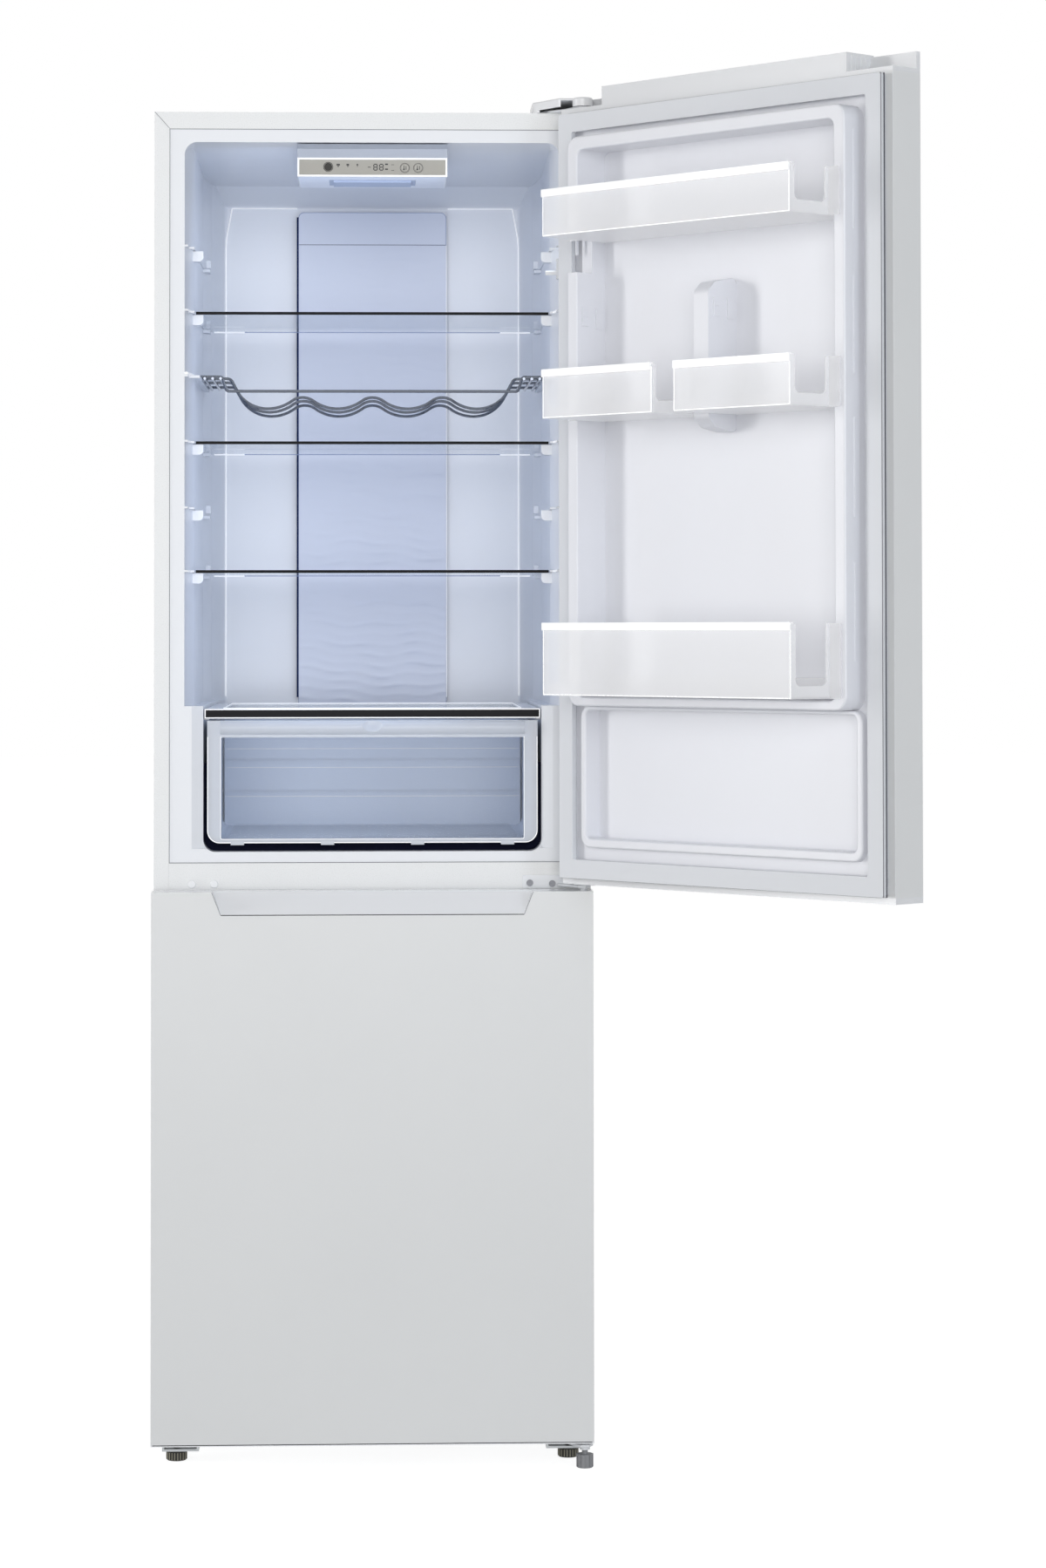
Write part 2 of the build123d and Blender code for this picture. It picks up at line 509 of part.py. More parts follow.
def wave_wire(y):
    last = 1.5 * PITCH
    rise = RACK_Z - BEND_R * (1 - cos(radians(END_SLOPE)))
    foot = dip(-last, END_R, -END_SLOPE)
    x_top = foot[0] - (rise - foot[1]) / (sin(radians(END_SLOPE)) / cos(radians(END_SLOPE)))
    x_rim = x_top - BEND_R * sin(radians(END_SLOPE))
    with BuildPart() as wire:
        with BuildLine(front(y)) as path:
            Line((-RACK_HALF, RACK_Z), (x_rim, RACK_Z))
            ThreePointArc((x_rim, RACK_Z), bend(x_rim, END_SLOPE / 2), bend(x_rim, END_SLOPE))
            Line(bend(x_rim, END_SLOPE), foot)
            ThreePointArc(foot, dip(-last, END_R, -END_SLOPE / 2), dip(-last, END_R, 0))
            ThreePointArc(dip(-last, TROUGH_R, 0), dip(-last, TROUGH_R, SLOPE / 2),
                          dip(-last, TROUGH_R, SLOPE))
            for k in (-1, 0, 1):
                cx = k * PITCH
                ThreePointArc(crest(cx, -SLOPE), crest(cx, 0), crest(cx, SLOPE))
                if k < 1:
                    tx = cx + PITCH / 2
                    ThreePointArc(dip(tx, TROUGH_R, -SLOPE), dip(tx, TROUGH_R, 0),
                                  dip(tx, TROUGH_R, SLOPE))
            ThreePointArc(dip(last, TROUGH_R, -SLOPE), dip(last, TROUGH_R, -SLOPE / 2),
                          dip(last, TROUGH_R, 0))
            ThreePointArc(dip(last, END_R, 0), dip(last, END_R, END_SLOPE / 2),
                          dip(last, END_R, END_SLOPE))
            Line((-foot[0], foot[1]), (-x_top, rise))
            ThreePointArc((-x_top, rise), (-bend(x_rim, END_SLOPE / 2)[0],
                          bend(x_rim, END_SLOPE / 2)[1]), (-x_rim, RACK_Z))
            Line((-x_rim, RACK_Z), (RACK_HALF, RACK_Z))
        with BuildSketch(Plane(origin=(-RACK_HALF, y, RACK_Z), z_dir=(1, 0, 0))):
            RegularPolygon(WIRE, WIRE_SIDES)
        sweep()
    return wire.part


RACK_WIRES = (150.0, 241.0, 352.0)
BAR_Y, BAR_Z = 106.0, RACK_Z - 20
BAR_HALF = RACK_HALF - 37
with BuildPart() as front_bar:
    with BuildLine(front(BAR_Y)):
        FilletPolyline((-RACK_HALF, RACK_Z), (-BAR_HALF - 6, RACK_Z), (-BAR_HALF, BAR_Z),
                       (BAR_HALF, BAR_Z), (BAR_HALF + 6, RACK_Z), (RACK_HALF, RACK_Z), radius=5)
    with BuildSketch(Plane(origin=(-RACK_HALF, BAR_Y, RACK_Z), z_dir=(1, 0, 0))):
        RegularPolygon(WIRE, WIRE_SIDES)
    sweep()
with BuildPart() as wine_rack:
    for y in RACK_WIRES:
        add(wave_wire(y))
    add(front_bar.part)
    # rails along the sides, under the wires' ends
    with BuildSketch(front(RACK_WIRES[-1] + 14)):
        for x in (RACK_HALF - 7, RACK_HALF - 18, RACK_HALF - 29):
            with Locations((x, RACK_Z - WIRE - 0.6), (-x, RACK_Z - WIRE - 0.6)):
                RegularPolygon(WIRE, WIRE_SIDES)
    extrude(amount=RACK_WIRES[-1] + 14 - BAR_Y + 6)
save(wine_rack, "wine_rack")

COVER_HALF = RECESS - 3.7
GLASS_HALF, GLASS_Y = COVER_HALF - 23.3, (44.0, BACK - 82)
with BuildPart() as crisper_cover_frame:
    g0, g1 = GLASS_Y
    block((-COVER_HALF, COVER_HALF), (24, g1 + 21), COVER_Z)
    block((-COVER_HALF - 2, COVER_HALF + 2), (12, 24), COVER_Z)
    block((4 - GLASS_HALF, GLASS_HALF - 4), (g0 + 4, g1 - 4), (COVER_Z[0] - 1, COVER_Z[1] + 1),
          Mode.SUBTRACT)
    block((-GLASS_HALF, GLASS_HALF), GLASS_Y, (COVER_Z[1] - GLASS - 0.4, COVER_Z[1] + 1), Mode.SUBTRACT)
    block((-COVER_HALF - 0.7, COVER_HALF + 0.7), (11, 13.6), (COVER_Z[0] + 1.3, COVER_Z[1] - 1.3),
          Mode.SUBTRACT)
    # hollow underneath
    block((11 - COVER_HALF, COVER_HALF - 11), (30, g1 + 15), (COVER_Z[0] - 1, COVER_Z[0] + 3),
          Mode.SUBTRACT)
save(crisper_cover_frame, "crisper_cover_frame")

with BuildPart() as crisper_cover_glass:
    block((0.2 - GLASS_HALF, GLASS_HALF - 0.2), (GLASS_Y[0] + 0.2, GLASS_Y[1] - 0.2),
          (COVER_Z[1] - GLASS - 0.4, COVER_Z[1] - 0.4))
save(crisper_cover_glass, "crisper_cover_glass")

with BuildPart() as crisper_cover_strip:
    block((-COVER_HALF - 0.5, COVER_HALF + 0.5), (11.6, 13.6), (COVER_Z[0] + 1.5, COVER_Z[1] - 1.5))
save(crisper_cover_strip, "crisper_cover_strip")

TUB_HALF, TUB_Y, TUB_TOP = RECESS - 9, (20.0, BACK - 80), DRAWER_Z[1] - 6
TUB_FLOOR = DRAWER_Z[0] + 2
with BuildPart() as crisper_drawer:
    plate(front(TUB_Y[1]), (-TUB_HALF, TUB_HALF), (TUB_FLOOR, TUB_TOP + 30),
          TUB_Y[1] - TUB_Y[0], r=15)
    plate(front(TUB_Y[1] - 2.5), (-TUB_HALF + 2.5, TUB_HALF - 2.5),
          (TUB_FLOOR + 2.5, TUB_TOP + 40), TUB_Y[1] - TUB_Y[0] - 5, r=13, mode=Mode.SUBTRACT)
    block((-HALF, HALF), (0, DEPTH), (TUB_TOP, TUB_TOP + 60), Mode.SUBTRACT)
    # ribs across its floor and a step along its back wall
    for y in range(80, int(TUB_Y[1]) - 20, 60):
        block((22 - TUB_HALF, TUB_HALF - 22), (y, y + 3), (TUB_FLOOR + 2, TUB_FLOOR + 6))
    for z in (TUB_FLOOR + 52, TUB_FLOOR + 98):
        block((2 - TUB_HALF, TUB_HALF - 2), (TUB_Y[1] - 8, TUB_Y[1] - 2), (z, z + 3))
save(crisper_drawer, "crisper_drawer")

with BuildPart() as crisper_front:
    plate(front(TUB_Y[0] - FIT), (-DRAWER_HALF, DRAWER_HALF), (DRAWER_Z[0], DRAWER_Z[1] + 30),
          11.7, r=17)
    block((-HALF, HALF), (0, 60), (DRAWER_Z[1], DRAWER_Z[1] + 60), Mode.SUBTRACT)
    half = DRAWER_HALF - 19
    plate(front(TUB_Y[0] + 1), (-half, half), (DRAWER_Z[0] + 6, DRAWER_Z[1] - 23), 20, r=2,
          mode=Mode.SUBTRACT)
    # rolled pull across the top, with a dent in its middle
    disc(side(-half - 1), [(10.5, DRAWER_Z[1] - 10)], 9.6, 2 * half + 2)
    with Locations((0, -12.6, DRAWER_Z[1] - 1.6)):
        Sphere(20, mode=Mode.SUBTRACT)
    block((-HALF, HALF), (TUB_Y[0] - FIT, 60), (DRAWER_Z[0] - 1, DRAWER_Z[1] + 9), Mode.SUBTRACT)
    for k in (-1.5, -0.5, 0.5, 1.5):
        x = k * 0.545 * DRAWER_HALF
        block((x - 9, x + 9), (6.2, TUB_Y[0] - FIT), (DRAWER_Z[0] - 2.5, DRAWER_Z[0] + 4))
save(crisper_front, "crisper_front")


# ---------------------------------------------------------------- doors
def grip_space(edge, up):
    """Room for the fingers behind the door's edge; up is 1 at a top edge, -1 at a bottom one."""
    with BuildPart() as room:
        low, over = edge - up * GRIP_RISE, edge + up * 4
        spread = GRIP_SPREAD * (GRIP_RISE + 4) / GRIP_RISE
        prism(front(-30), [(-GRIP_HALF, low), (GRIP_HALF, low), (GRIP_HALF + spread, over),
                                  (-GRIP_HALF - spread, over)], 40)
        rise = GRIP_RISE + 4
        prism(side(0), [(DOOR_FRONT - 4, low - up * 4), (DOOR_FRONT + rise, over),
                               (DOOR_FRONT - 4, over)], HALF, both=True, mode=Mode.INTERSECT)
    return room.part


def door_skin(z0, z1, grip):
    with BuildPart() as skin:
        with BuildSketch(level(z0)) as outline:
            with BuildLine():
                Polyline((-HALF, DOOR_BACK), (-HALF, DOOR_FRONT), (HALF, DOOR_FRONT),
                         (HALF, DOOR_BACK), close=True)
            make_face()
        extrude(outline.sketch, amount=z1 - z0)
        block((-INSIDE, INSIDE), (DOOR_FRONT + SHEET, DOOR_BACK - SHEET), (z0 - 1, z1 + 1),
              Mode.SUBTRACT)
        block((12.5 - HALF, HALF - 12.5), (DOOR_BACK - SHEET - 1, DOOR_BACK + 1), (z0 - 1, z1 + 1),
              Mode.SUBTRACT)
        add(grip, mode=Mode.SUBTRACT)
    return skin


def scoop(edge, up):
    """Wall of the grip recess inside the door."""
    reach = DOOR_FRONT + SHEET + 0.1
    prism(
        side(0),
        [(reach, edge - up * 37), (reach, edge - up * 22), (-40, edge), (-26, edge),
         (-26, edge - up * 9), (-55, edge - up * 37)],
        GRIP_HALF + GRIP_SPREAD + 3, both=True,
    )


def ring_cavity(half, hole, zo, zi, high, r):
    """Hollow behind a raised ring of the door liner."""
    with BuildPart() as hollow:
        plate(front(high - SKIN), (-half + SKIN, half - SKIN), (zo[0] + SKIN, zo[1] - SKIN),
              high - SKIN - DOOR_BACK + SHEET + 1, r=r + 7)
        plate(front(high + 1), (-hole - SKIN, hole + SKIN), (zi[0] - SKIN, zi[1] + SKIN), 80,
              r=r + SKIN, mode=Mode.SUBTRACT)
    return hollow.part


SOFT = 2.5               # rounding of the formed skin's rings


def door_liner(z0, z1, frames):
    """Vacuum formed inner skin. Each frame is a raised ring round a recess."""
    cavities = [ring_cavity(*frame) for frame in frames]
    with BuildPart() as liner:
        block((12.7 - HALF, HALF - 12.7), (DOOR_BACK - SHEET, DOOR_BACK - SHEET + SKIN), (z0, z1))
        for half, hole, zo, zi, high, r in frames:
            plate(front(high), (-half, half), zo, high - DOOR_BACK + SHEET, r=r + 8)
            plate(front(DOOR_BACK), (-hole - SKIN, hole + SKIN), (zi[0] - SKIN, zi[1] + SKIN),
                  17, r=r + SKIN)
        for (half, hole, zo, zi, high, r), cavity in zip(frames, cavities):
            add(cavity, mode=Mode.SUBTRACT)
            plate(front(high + 1), (-hole, hole), zi, high + 1 + 30, r=r, mode=Mode.SUBTRACT)
        for frame in frames:
            crest_edges = liner.edges().filter_by_position(Axis.Y, frame[4] - 0.01, frame[4] + 0.01)
            fillet(crest_edges, SOFT)
    return liner


def door_seal(z):
    """Magnetic seal: a neck in the liner's groove and the wider magnet pocket."""
    neck, face = DOOR_BACK - SHEET + SKIN, -8.0
    out, wide = SEAL_HALF, SEAL_WIDE
    with BuildPart() as fold:
        plate(front(-4), (-out - 1, out + 1), (z[0] - 1, z[1] + 1), 0.8)
        plate(front(-3), (-out + 0.8, out - 0.8), (z[0] + 0.8, z[1] - 0.8), 3, mode=Mode.SUBTRACT)
    with BuildPart() as seal:
        plate(front(-0.4), (-out, out), z, -0.4 - face, r=3)
        plate(front(face), (-out + 5, out - 5), (z[0] + 5, z[1] - 5), face - neck, r=3)
        plate(front(face + 1), (-out + wide - 5, out - wide + 5),
              (z[0] + wide - 5, z[1] - wide + 5), 10, r=3, mode=Mode.SUBTRACT)
        plate(front(1), (-out + wide, out - wide), (z[0] + wide, z[1] - wide), 1 - face,
              r=3, mode=Mode.SUBTRACT)
        # fold line round the magnet pocket
        add(fold.part, mode=Mode.SUBTRACT)
    return seal


def door_foam(z0, z1, edge, up, rims):
    """Foam as slabs: a full sheet, the pieces beside the grip, and the raised rims."""
    y0, y1 = DOOR_FRONT + SHEET, -32.0
    near = edge - up * 38
    zs = (z0, near) if up > 0 else (near, z1)
    with BuildPart() as foam:
        block((-INSIDE, INSIDE), (y0, y1), zs)
        ze = (near + SLIT, z1) if up > 0 else (z0, near - SLIT)
        for m in (-1, 1):
            lo, hi = sorted((m * (GRIP_HALF + GRIP_SPREAD + 4.6), m * INSIDE))
            block((lo, hi), (y0, y1), ze)
        for x, y, z in rims:
            block(x, y, z)
    return foam


# Fridge door
fridge_grip = grip_space(FRIDGE_DOOR[0], -1)
save(door_skin(FRIDGE_DOOR[0] + 8, FRIDGE_DOOR[1], fridge_grip), "fridge_door_skin", DOOR)

SWITCH_NOTCH = (SWITCH_Z[0] - 3, SWITCH_Z[1] + 17)
RIB_Z = (MIDDLE[0] - 24, MIDDLE[1] + 115.5)
RIB = [(-30.5, RIB_Z[0]), (10, RIB_Z[0] + 7), (DIKE, RIB_Z[0] + 19), (DIKE, RIB_Z[1] - 19),
       (10, RIB_Z[1] - 7), (-30.5, RIB_Z[1])]
with BuildPart() as fridge_door_liner:
    add(door_liner(FRIDGE_DOOR[0] + 12, FRIDGE_DOOR[1] - 4, (UPPER, LOWER)).part)
    # hollow rib between the half bins
    prism(side(-RIB_HALF), RIB, 2 * RIB_HALF, r=9)
    block((-RIB_HALF + SKIN, RIB_HALF - SKIN), (-32, DIKE - SKIN), (RIB_Z[0] + 21, RIB_Z[1] - 21),
          Mode.SUBTRACT)
    # notch that clears the lamp switch, closed towards the foam
    block((UPPER[1] + 1, UPPER[0] - 1), (-10, DIKE - 1.2), (SWITCH_NOTCH[0] - 2, SWITCH_NOTCH[1] + 2))
    block((UPPER[1] - 1, UPPER[0] + 2), (-6, DIKE + 1), SWITCH_NOTCH, Mode.SUBTRACT)
    # lugs that carry the bins, and the pair left free between them
    for z0, z1, xl, xr in BINS.values():
        for x in (xl, xr):
            m = 1 if x > 0 else -1
            wall = abs(x) == BIN_HALF
            edge = UPPER[1] if wall else RIB_HALF
            inner = UPPER[1] - 4 if wall else RIB_HALF + 3
            lo, hi = sorted((m * edge, m * inner))
            block((lo, hi), (-25, -10), (z0 + 6, z0 + 20 - FIT))
    for x in (1 - UPPER[1], UPPER[1] - 1, -RIB_HALF - 0.5, RIB_HALF + 0.5):
        z = MIDDLE[1] + 61
        block((x - 1, x + 1), (-25, -12), (z, z + 27))
        block((x - 1, x + 1), (2, 14), (z + 16, z + 20))
        block((x - 1, x + 1), (2, 14), (z + 3, z + 7))
        block((x - 1, x + 1), (11, 14), (z + 3, z + 27))
    # beads on the outer flanks
    low, tall_by = UPPER[2][0], UPPER[2][1] - UPPER[2][0]
    for share in (0.081, 0.319, 0.555, 0.794):
        z = low + share * tall_by
        for m in (-1, 1):
            block((m * UPPER[0] - 1, m * UPPER[0] + 1), (2, 6), (z, z + 0.164 * tall_by))
save(fridge_door_liner, "fridge_door_liner", DOOR)

save(door_seal(FRIDGE_SEAL), "fridge_door_seal", DOOR)

flat = (-31.5, DOOR_BACK - SHEET - SLIT)
tall = (DOOR_BACK - SHEET, DIKE - 2)
RIB_IN = SKIN + 0.2
half, hole, zo, zi = (UPPER[k] for k in range(4))
low_hole, low_zo, low_zi = LOWER[1], LOWER[2], LOWER[3]
rims = [((-hole - SKIN - 0.4, hole + SKIN + 0.4), flat, (zi[1] + 2.5, TOP - 25)),
        ((-hole - 1, hole + 1), tall, (zi[1] + 2.5, zo[1] - 2)),
        ((-hole - SKIN - 0.4, hole + SKIN + 0.4), flat, (zo[0] - 2, zi[0] - 2)),
        ((-hole, hole), tall, (zo[0] + 2, zi[0] - 2)),
        ((-low_hole - 2.5, low_hole + 2.5), flat, (low_zo[0] - 12, low_zi[0] - 2)),
        ((RIB_IN - RIB_HALF, RIB_HALF - RIB_IN), (-32, DIKE - RIB_IN),
         (RIB_Z[0] + 21.2, RIB_Z[1] - 21.2))]
for m in (-1, 1):
    lo, hi = sorted((m * (hole + 2.5), m * (INSIDE - 0.2)))
    rims.append(((lo, hi), flat, (zo[0] - 2, TOP - 25)))
    lo, hi = sorted((m * (low_hole + 3.1), m * (INSIDE - 0.2)))
    rims.append(((lo, hi), flat, (low_zo[0] - 12, zo[0] - 2.5)))
    lo, hi = sorted((m * (hole + 2), m * (half - 2)))
    rims.append(((lo, hi), tall, (zo[0] + 18, zi[1])))
with BuildPart() as fridge_door_foam:
    add(door_foam(FRIDGE_DOOR[0] + 8 + CAP_IN, FRIDGE_DOOR[1] - CAP_IN, FRIDGE_DOOR[0], -1, rims).part)
    block((hole, half - 1), (-11, DIKE - 1), (SWITCH_NOTCH[0] - 3, SWITCH_NOTCH[1] + 3), Mode.SUBTRACT)
save(fridge_door_foam, "fridge_door_foam", DOOR)

FILL = (DOOR_FRONT + SHEET + 0.1, DOOR_BACK - SHEET - 0.1)
with BuildPart() as fridge_door_caps:
    z = FRIDGE_DOOR[1]
    block((-HALF, HALF), (DOOR_FRONT, DOOR_BACK), (z, CAP_TOP))
    block((-INSIDE + 0.1, INSIDE - 0.1), FILL, (z - CAP_IN, z))
    block((25.5 - HALF, HALF - 25.5), (FILL[0] + 3, FILL[1] - 3), (z - CAP_IN - 1, z + 3), Mode.SUBTRACT)
    block((-BLOCK_HALF, BLOCK_HALF), (DOOR_FRONT, DOOR_BACK), (CAP_TOP, BLOCK_TOP))
    block((-BLOCK_HALF + 3, BLOCK_HALF - 3), (DOOR_FRONT + 3, DOOR_BACK - 3), (z, BLOCK_TOP - 3),
          Mode.SUBTRACT)
    block((-HALF, -BLOCK_HALF), (DOOR_FRONT, DOOR_FRONT + 7), (CAP_TOP, LIP_TOP))
    block((BLOCK_HALF, HALF), (DOOR_FRONT, DOOR_FRONT + 7), (CAP_TOP, LIP_TOP_HINGE))
    for y in (-54, -45, -36, -27):
        block((-BLOCK_HALF - 1.5, -BLOCK_HALF), (y, y + 3), (CAP_TOP, BLOCK_TOP - 2))
    with Locations((PIN_X, PIN_Y, z)):
        Cylinder(PIN_R + RUN, 60, mode=Mode.SUBTRACT)
    z = FRIDGE_DOOR[0]
    block((-HALF, HALF), (DOOR_FRONT, DOOR_BACK), (z, z + 8))
    block((-INSIDE + 0.1, INSIDE - 0.1), FILL, (z + 8, z + 8 + CAP_IN))
    block((25.5 - HALF, HALF - 25.5), (FILL[0] + 3, FILL[1] - 3), (z + 4, z + 9 + CAP_IN), Mode.SUBTRACT)
    scoop(z, -1)
    add(fridge_grip, mode=Mode.SUBTRACT)
    with Locations((PIN_X, PIN_Y, z)):
        Cylinder(PIN_R + RUN, 60, mode=Mode.SUBTRACT)
save(fridge_door_caps, "fridge_door_caps", DOOR)

with BuildPart() as door_stop:
    x = PIN_X
    prism(level(FRIDGE_DOOR[0] - 3), [(x + 9, -34), (x + 9, -58), (x - 18, -65), (x - 42, -62.5),
                                      (x - 24, -50), (x - 16, -34)], 3)
    with Locations((PIN_X, PIN_Y, FRIDGE_DOOR[0])):
        Cylinder(PIN_R + 0.6, 20, mode=Mode.SUBTRACT)
save(door_stop, "door_stop", DOOR)


def bin_plan(xl, xr, o):
    return [(xl + 3.5 + o, BIN_FRONT - o), (xr - 3.5 - o, BIN_FRONT - o), (xr - o, BIN_BACK + o),
            (xl + o, BIN_BACK + o)]


for name, (z0, z1, xl, xr) in BINS.items():
    with BuildPart() as tray:
        prism(level(z0), bin_plan(xl, xr, 0), z1 - z0)
        prism(level(z0 + BIN_WALL), bin_plan(xl, xr, BIN_WALL), z1 - z0, mode=Mode.SUBTRACT)
        block((xl + 12, xr - 12), (BIN_BACK - 1, BIN_BACK + 4), (z0 + 25, z1 + 1), Mode.SUBTRACT)
        for x, out in ((xl, -1), (xr, 1)):
            plate(side(x - 6), (30, 86), (z0 + 16, z1 + 30), 12, r=8, mode=Mode.SUBTRACT)
            if abs(x) == BIN_HALF:
                lo, hi = sorted((x - out * 3, x + out * 16.5))
                block((lo, hi), (DIKE + FIT, DIKE + FIT + 2.5), (z0, z1))
                lo, hi = sorted((x - out * 1, x + out * 4))
            else:
                lo, hi = sorted((x - out * 1, x + out * 3.4))
            block((lo, hi), (-25, -10), (z0 + 20, z0 + 34))
    save(tray, name, DOOR)
    with BuildPart() as rim:
        block((xl + 3.6, xr - 3.6), (BIN_FRONT - 4, BIN_FRONT + 2.6), (z1 - 8.6, z1 + 1.4))
        add(tray.part, mode=Mode.SUBTRACT)
        block((xl, xr), (BIN_FRONT - 5, BIN_FRONT - BIN_WALL), (z1 - 10, z1), Mode.SUBTRACT)
    save(rim, name.replace("bin", "bin_rim"), DOOR)

# Freezer door
freezer_grip = grip_space(FREEZER_DOOR[1], 1)
save(door_skin(FREEZER_DOOR[0] + 2, FREEZER_DOOR[1], freezer_grip), "freezer_door_skin")
save(door_liner(FREEZER_DOOR[0] + 6, FREEZER_DOOR[1] - 6, (F_RING,)), "freezer_door_liner")
save(door_seal(FREEZER_SEAL), "freezer_door_seal")
half, hole, zo, zi = (F_RING[k] for k in range(4))
rims = [((-hole - 1, hole + 1), flat, (FREEZER_DOOR[0] + 20, zi[0] - 2)),
        ((-hole - 1, hole + 1), flat, (zi[1] + 2, FREEZER_DOOR[1] - 42))]
for m in (-1, 1):
    lo, hi = sorted((m * (hole + 2.5), m * (INSIDE - 0.2)))
    rims.append(((lo, hi), flat, (FREEZER_DOOR[0] + 20, FREEZER_DOOR[1] - 42)))
save(door_foam(FREEZER_DOOR[0] + 2 + CAP_IN, FREEZER_DOOR[1] - CAP_IN - 1, FREEZER_DOOR[1], 1, rims),
     "freezer_door_foam")
with BuildPart() as freezer_door_caps:
    z = FREEZER_DOOR[1]
    block((-INSIDE + 0.1, INSIDE - 0.1), FILL, (z - CAP_IN, z))
    block((25.5 - HALF, HALF - 25.5), (FILL[0] + 3, FILL[1] - 3), (z - CAP_IN - 1, z - 4), Mode.SUBTRACT)
    scoop(z, 1)
    add(freezer_grip, mode=Mode.SUBTRACT)
    with Locations((PIN_X, PIN_Y, z)):
        Cylinder(PIN_R + RUN, 60, mode=Mode.SUBTRACT)
    z = FREEZER_DOOR[0]
    block((-HALF, HALF), (DOOR_FRONT, DOOR_BACK), (z, z + 2))
    block((-INSIDE + 0.1, INSIDE - 0.1), FILL, (z + 2, z + 2 + CAP_IN))
    block((25.5 - HALF, HALF - 25.5), (FILL[0] + 3, FILL[1] - 3), (z + 4, z + 3 + CAP_IN), Mode.SUBTRACT)
    with Locations((PIN_X, PIN_Y, z)):
        Cylinder(PIN_R + RUN, 60, mode=Mode.SUBTRACT)
save(freezer_door_caps, "freezer_door_caps")

with BuildPart() as freezer_drawers:
    for z0, z1, y1 in DRAWER_TIERS:
        half = F_HALF - 12
        block((-half, half), (8, y1), (z0, z1 - 20))
        block((2.5 - half, half - 2.5), (12, y1 - 2.5), (z0 + 2.5, z1), Mode.SUBTRACT)
        block((-half, half), (6, 12), (z0, z1))
        plate(front(13), (-80, 80), (z1 - 40, z1 - 16), 8, r=10, mode=Mode.SUBTRACT)
save(freezer_drawers, "freezer_drawers")

# ---------------------------------------------------------------- hinges
BRACKET = 3.0
TOP_SCREWS = [(PIN_X - 48, 28.0), (PIN_X - 30, 48.0), (PIN_X - 12, 28.0)]
MIDDLE_SCREWS = [(PIN_X - 71.7, SPLIT + 2.5), (PIN_X - 41.1, SPLIT + 1.4)]
LOW_SCREWS = [(PIN_X - 40, BASE + 11), (PIN_X - 22, BASE + 11), (PIN_X - 4, BASE + 11)]


def arm(z, outline):
    """Flat hinge plate, its outline given from the pin's axis."""
    prism(level(z), [(PIN_X + x, PIN_Y + y) for x, y in outline], BRACKET)


with BuildPart() as top_hinge_bracket:
    arm(TOP, [(-60, 106), (-60, 58), (-24, 24), (-10, -2), (-5, -9), (5, -9), (9, 0), (0.5, 12),
              (0.5, 106)])
    disc(level(FRIDGE_DOOR[1] - 12), [(PIN_X, PIN_Y)], PIN_R, TOP - FRIDGE_DOOR[1] + 12)
    disc(level(TOP - 1), TOP_SCREWS, 3.2, 5, mode=Mode.SUBTRACT)
save(top_hinge_bracket, "top_hinge_bracket")

COVER_HIGH, COVER_WALL = 15.0, 3.0


def hinge_hood(grow):
    """Plan of the cover over the top hinge; its nose is round about the pin."""
    with BuildSketch(level(TOP)) as plan:
        with BuildLine():
            Polyline((PIN_X + 1 + grow, PIN_Y), (PIN_X + 1 + grow, PIN_Y + 114 + grow),
                     (PIN_X - 64 - grow, PIN_Y + 114 + grow), (PIN_X - 64 - grow, PIN_Y + 50),
                     (PIN_X - 30 - grow, PIN_Y), close=True)
        make_face()
        with Locations((PIN_X, PIN_Y)):
            Circle(11 + grow)
    return plan.sketch


with BuildPart() as top_hinge_cover:
    extrude(hinge_hood(COVER_WALL), amount=COVER_HIGH)
    chamfer(top_hinge_cover.edges().group_by(Axis.Z)[-1], 2)
    extrude(hinge_hood(0.0), amount=COVER_HIGH - COVER_WALL, mode=Mode.SUBTRACT)
    # its front end stands clear of the door's cap
    block((PIN_X - 60, PIN_X + 15), (PIN_Y - 15, -4), (TOP - 1, TOP + BRACKET + 0.2), Mode.SUBTRACT)
save(top_hinge_cover, "top_hinge_cover")

ARM_Z = FRIDGE_DOOR[0] - 2 * BRACKET - FIT
with BuildPart() as middle_hinge_bracket:
    plate(front(0), (PIN_X - 82, PIN_X - 22), (SPLIT - 4.6, SPLIT + 13), 2.5, r=2)
    arm(ARM_Z, [(-34.5, 43.1), (-34.5, 33.6), (-20, 13.6), (-9, -8.4), (2, -10.9), (9, -2.4), (6, 9.6),
                (-10, 29.6), (-22, 43.1)])
    with Locations((PIN_X, PIN_Y, ARM_Z + BRACKET / 2)):
        Cylinder(PIN_R, 34)
    disc(front(1), MIDDLE_SCREWS, 2.6, 5, mode=Mode.SUBTRACT)
save(middle_hinge_bracket, "middle_hinge_bracket")

LOW_Z = BASE - 11
with BuildPart() as bottom_hinge_bracket:
    arm(LOW_Z, [(-50, 47), (-50, 34), (-24, 14), (-14, -6), (-6, -13), (5, -13), (11, -2), (6, 24),
                (6, 47)])
    block((PIN_X - 50, PIN_X + 6), (-2.5, 0), (LOW_Z, BASE + 26))
    disc(level(LOW_Z), [(PIN_X, PIN_Y)], PIN_R, 22)
    disc(level(24), [(PIN_X, PIN_Y)], PIN_R + 2, FREEZER_DOOR[0] - FIT - 24)
    with Locations((PIN_X, PIN_Y, LOW_Z - 2)):
        Cylinder(STEM_R + RUN, 12, mode=Mode.SUBTRACT)
    disc(front(1), LOW_SCREWS, 2.6, 5, mode=Mode.SUBTRACT)
save(bottom_hinge_bracket, "bottom_hinge_bracket")

